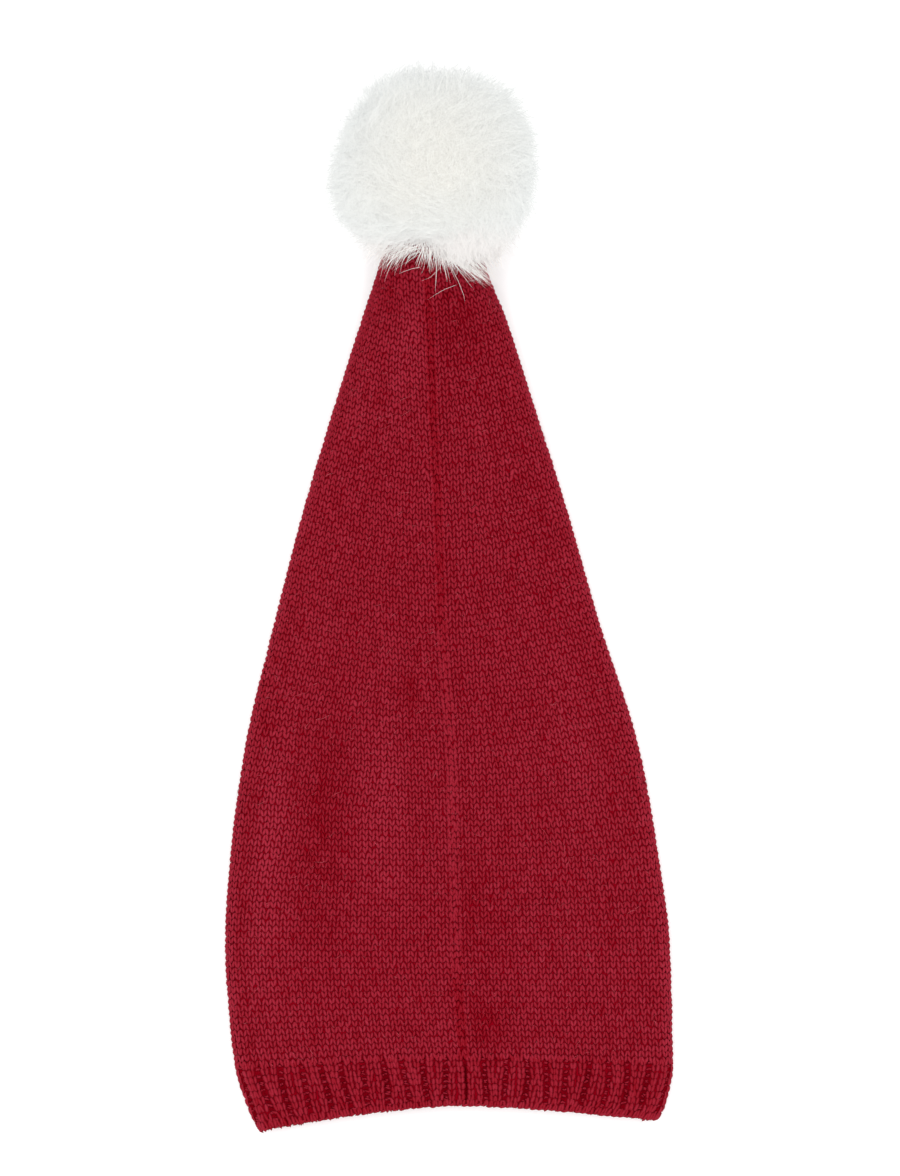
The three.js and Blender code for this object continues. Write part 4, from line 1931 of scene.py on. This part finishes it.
    def _hair_tubes(
        self, points: Array, steps: Array, fineness: Array, taper: float, girdle: Array
    ) -> Tubes:
        """Hairs that taper to their tips and shade as a soft ball.

        Args:
            points: Spine points, as hairs by points by three.
            steps: Shares of a hair's length at its spine points.
            fineness: Each hair's share of the pile's usual thickness.
            taper: How late the hairs grow thin, where one is evenly.
            girdle: How near each hair is to the ball's girth, from zero to one.

        Returns:
            The hairs as tubes.
        """
        count = len(points)
        spread = fineness[:, None] * self.rng.uniform(*self.hair_spread, (count, 1))
        thickness = np.maximum(self.root_width * (1 - steps**taper) * spread, self.hair_tip)
        chord = unit(points[:, -1:] - points[:, :1])
        ups = self.rng.normal(0, 1, (count, 1, 3))
        ups = unit(ups - np.sum(ups * chord, axis=2, keepdims=True) * chord)
        # Painted red reflection: hairs whose tips lie over the crown are tinted pink.
        beyond = (points[:, -1, 1] - self.red_bounce_y) / self.red_bounce_fade
        return Tubes(
            points,
            np.broadcast_to(ups, points.shape),
            thickness,
            thickness,
            tones=self.girdle_tone * girdle + (1 - self.girdle_tone) * self.rng.random(count),
            red_bounces=np.clip(self.red_bounce_there - beyond, 0, self.red_bounce_most),
            facing=self._facing(points),
            softness=self.softness,
            sides=3,
        )

    def build_pile(self) -> list[bpy.types.Object]:
        """The fur itself, in long outer hairs and shorter inner ones.

        The lamps shine through these hairs, which are too fine and clear to shade each other.

        Returns:
            The pile's pieces.
        """
        pieces = []
        for name, layer in (("pompom_long_hairs", LONG_LAYER), ("pompom_short_hairs", SHORT_LAYER)):
            piece = self._hairs(layer).shape().piece(name, self.fur, Slot.FUR)
            piece.visible_shadow = False
            pieces.append(piece)
        return pieces

    def _tuft_hairs(self, tuft: Tuft) -> Array:
        """The hairs of one tuft, from the head's upper side down to the crown.

        Args:
            tuft: The tuft.

        Returns:
            Spine points, as hairs by points by three.
        """
        rng, count = self.rng, tuft.hairs
        t = np.array(self.fringe_steps)
        place = rng.random((count, 1))
        lines = np.array([tuft.roots, tuft.tips])
        root, tip = (first + (second - first) * place for first, second in lines)
        root = root + rng.normal(0, self.fringe_spread, (count, 2))
        tip = tip + rng.normal(0, tuft.scatter, (count, 2))
        length = rng.uniform(*self.fringe_length, (count, 1))
        length = length + self.fringe_extra * rng.random((count, 1)) ** self.length_power
        reach = ((tip - root) * length)[:, None]
        plan = root[:, None] + reach * t[:, None] ** np.array(tuft.swing)
        aside = np.sum((root - self.middle[:2]) ** 2, axis=1)
        top = self.middle[2] + np.sqrt(np.maximum(self.head_radius**2 - aside, 0))[:, None]
        end = self.fringe_end + rng.normal(0, self.fringe_spread, (count, 1))
        z = top * (1 - t) + end * t
        return np.concatenate([plan, z[..., None]], axis=2)

    def _stray_hair(self, stray: Stray) -> Array:
        """One stray, bent through its three places.

        Args:
            stray: The stray.

        Returns:
            Spine points, as one hair by points by three.
        """
        t = np.array(self.fringe_steps)[:, None]
        start, middle, end = (np.array(place) for place in (stray.start, stray.middle, stray.end))
        plan = (1 - t) ** 2 * start + 2 * t * (1 - t) * middle + t**2 * end
        return np.concatenate([plan, self.stray_height - self.stray_fall * t], axis=1)[None]

    def build_fringe(self) -> bpy.types.Object:
        """The hairs that lie over the crown's tip, in tufts and single strays.

        Returns:
            The fringe's piece.
        """
        bundles = [self._tuft_hairs(tuft) for tuft in TUFTS]
        bundles += [self._stray_hair(stray) for stray in STRAYS]
        fineness = np.repeat(table(TUFTS + STRAYS, "fineness"), [len(hairs) for hairs in bundles])
        points = self._settle(np.concatenate(bundles))
        steps = np.array(self.fringe_steps)
        hairs = self._hair_tubes(points, steps, fineness, self.fringe_taper, np.zeros(len(points)))
        return hairs.shape().piece("pompom_fringe", self.fringe, Slot.FUR)

    def build(self) -> list[bpy.types.Object]:
        """Makes the pompom's pieces."""
        return [self.build_head(), *self.build_pile(), self.build_fringe()]


@dataclass
class PompomTie:
    """The hidden shank that holds the pompom, shown as its own solid with a thread finish."""

    thread: bpy.types.Material

    def build(self) -> list[bpy.types.Object]:
        """Gives the tie's solid its finish.

        Returns:
            The solid.
        """
        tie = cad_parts["pompom_tie"]
        tie.data.materials.clear()
        tie.data.materials.append(self.thread)
        return [tie]


# The studio

@dataclass
class Studio:
    """A pale floor, soft light from all round and above, and a camera that looks straight down.

    The floor's size, the lamps' places and size and the clip distance are in metres.
    """

    floor_finish: bpy.types.Material
    view_width: float = 446.9
    target: Pair = (0.5, 5.5)
    camera_height: float = 6000.0
    sensor: float = 36.0
    clip_distance: float = 100.0
    floor_size: float = 12.0
    floor_drop: float = 0.3
    sky: float = 0.8
    key_power: float = 37.0
    key_place: Triple = (-0.3, 0.35, 2.4)
    fill_power: float = 12.5
    fill_place: Triple = (0.8, -1.4, 1.6)
    lamp_size: float = 2.6

    def build_floor(self) -> bpy.types.Object:
        """The floor, just below the hat.

        Returns:
            The floor.
        """
        half = self.floor_size / 2
        level = -self.floor_drop * MM
        corners = [(-half, -half, level), (half, -half, level), (half, half, level), (-half, half, level)]
        mesh = bpy.data.meshes.new("floor")
        mesh.from_pydata(corners, [], [(0, 1, 2, 3)])
        mesh.materials.append(self.floor_finish)
        floor = bpy.data.objects.new("floor", mesh)
        bpy.context.scene.collection.objects.link(floor)
        return floor

    def build_lamp(self, name: str, power: float, place: Triple) -> bpy.types.Object:
        """A large soft lamp aimed at the hat.

        Args:
            name: The lamp's name.
            power: In watts.
            place: In metres.

        Returns:
            The lamp.
        """
        light = bpy.data.lights.new(name, "AREA")
        light.energy = power
        light.shape = "DISK"
        light.size = self.lamp_size
        lamp = bpy.data.objects.new(name, light)
        lamp.location = place
        lamp.rotation_euler = (-lamp.location).to_track_quat("-Z", "Y").to_euler()
        lamp.visible_camera = False
        bpy.context.scene.collection.objects.link(lamp)
        return lamp

    def build_sky(self) -> None:
        """Even white light from all round."""
        world = bpy.data.worlds.new("studio")
        world.use_nodes = True
        background = world.node_tree.nodes["Background"]
        background.inputs["Color"].default_value = (1.0, 1.0, 1.0, 1.0)
        background.inputs["Strength"].default_value = self.sky
        bpy.context.scene.world = world

    def build_camera(self) -> bpy.types.Object:
        """The camera, straight above the hat, with the photograph's framing.

        Returns:
            The camera.
        """
        data = bpy.data.cameras.new("camera")
        data.sensor_fit = "HORIZONTAL"
        data.sensor_width = self.sensor
        data.lens = self.sensor * self.camera_height / self.view_width
        data.clip_end = self.clip_distance
        camera = bpy.data.objects.new("camera", data)
        camera.location = (self.target[0] * MM, self.target[1] * MM, self.camera_height * MM)
        bpy.context.scene.collection.objects.link(camera)
        bpy.context.scene.camera = camera
        return camera

    def build(self) -> None:
        """Makes the whole studio."""
        bpy.context.scene.view_settings.view_transform = "Standard"
        self.build_floor()
        self.build_sky()
        self.build_lamp("key_lamp", self.key_power, self.key_place)
        self.build_lamp("fill_lamp", self.fill_power, self.fill_place)
        self.build_camera()


def main() -> None:
    """Builds the studio, then the hat's sub-assemblies in order, and reports each piece."""
    logging.basicConfig(level=logging.INFO, format="%(name)s: %(message)s")
    form = HatForm()
    yarn, backing = RED_YARN.material(), RED_BACKING.material()
    Studio(PALE_FLOOR.material()).build()
    assemblies = (
        Crown(form, yarn, RED_FUZZ_SHEEN.material(), backing),
        RibBand(form, yarn, backing),
        Pompom(form, WHITE_FUR.material(), SHADED_UNDER_FUR.material(), WHITE_FRINGE.material()),
        PompomTie(WHITE_THREAD.material()),
    )
    for assembly in assemblies:
        for piece in assembly.build():
            log.info("%s: %d faces", piece.name, len(piece.data.polygons))


if __name__ == "__main__":
    main()
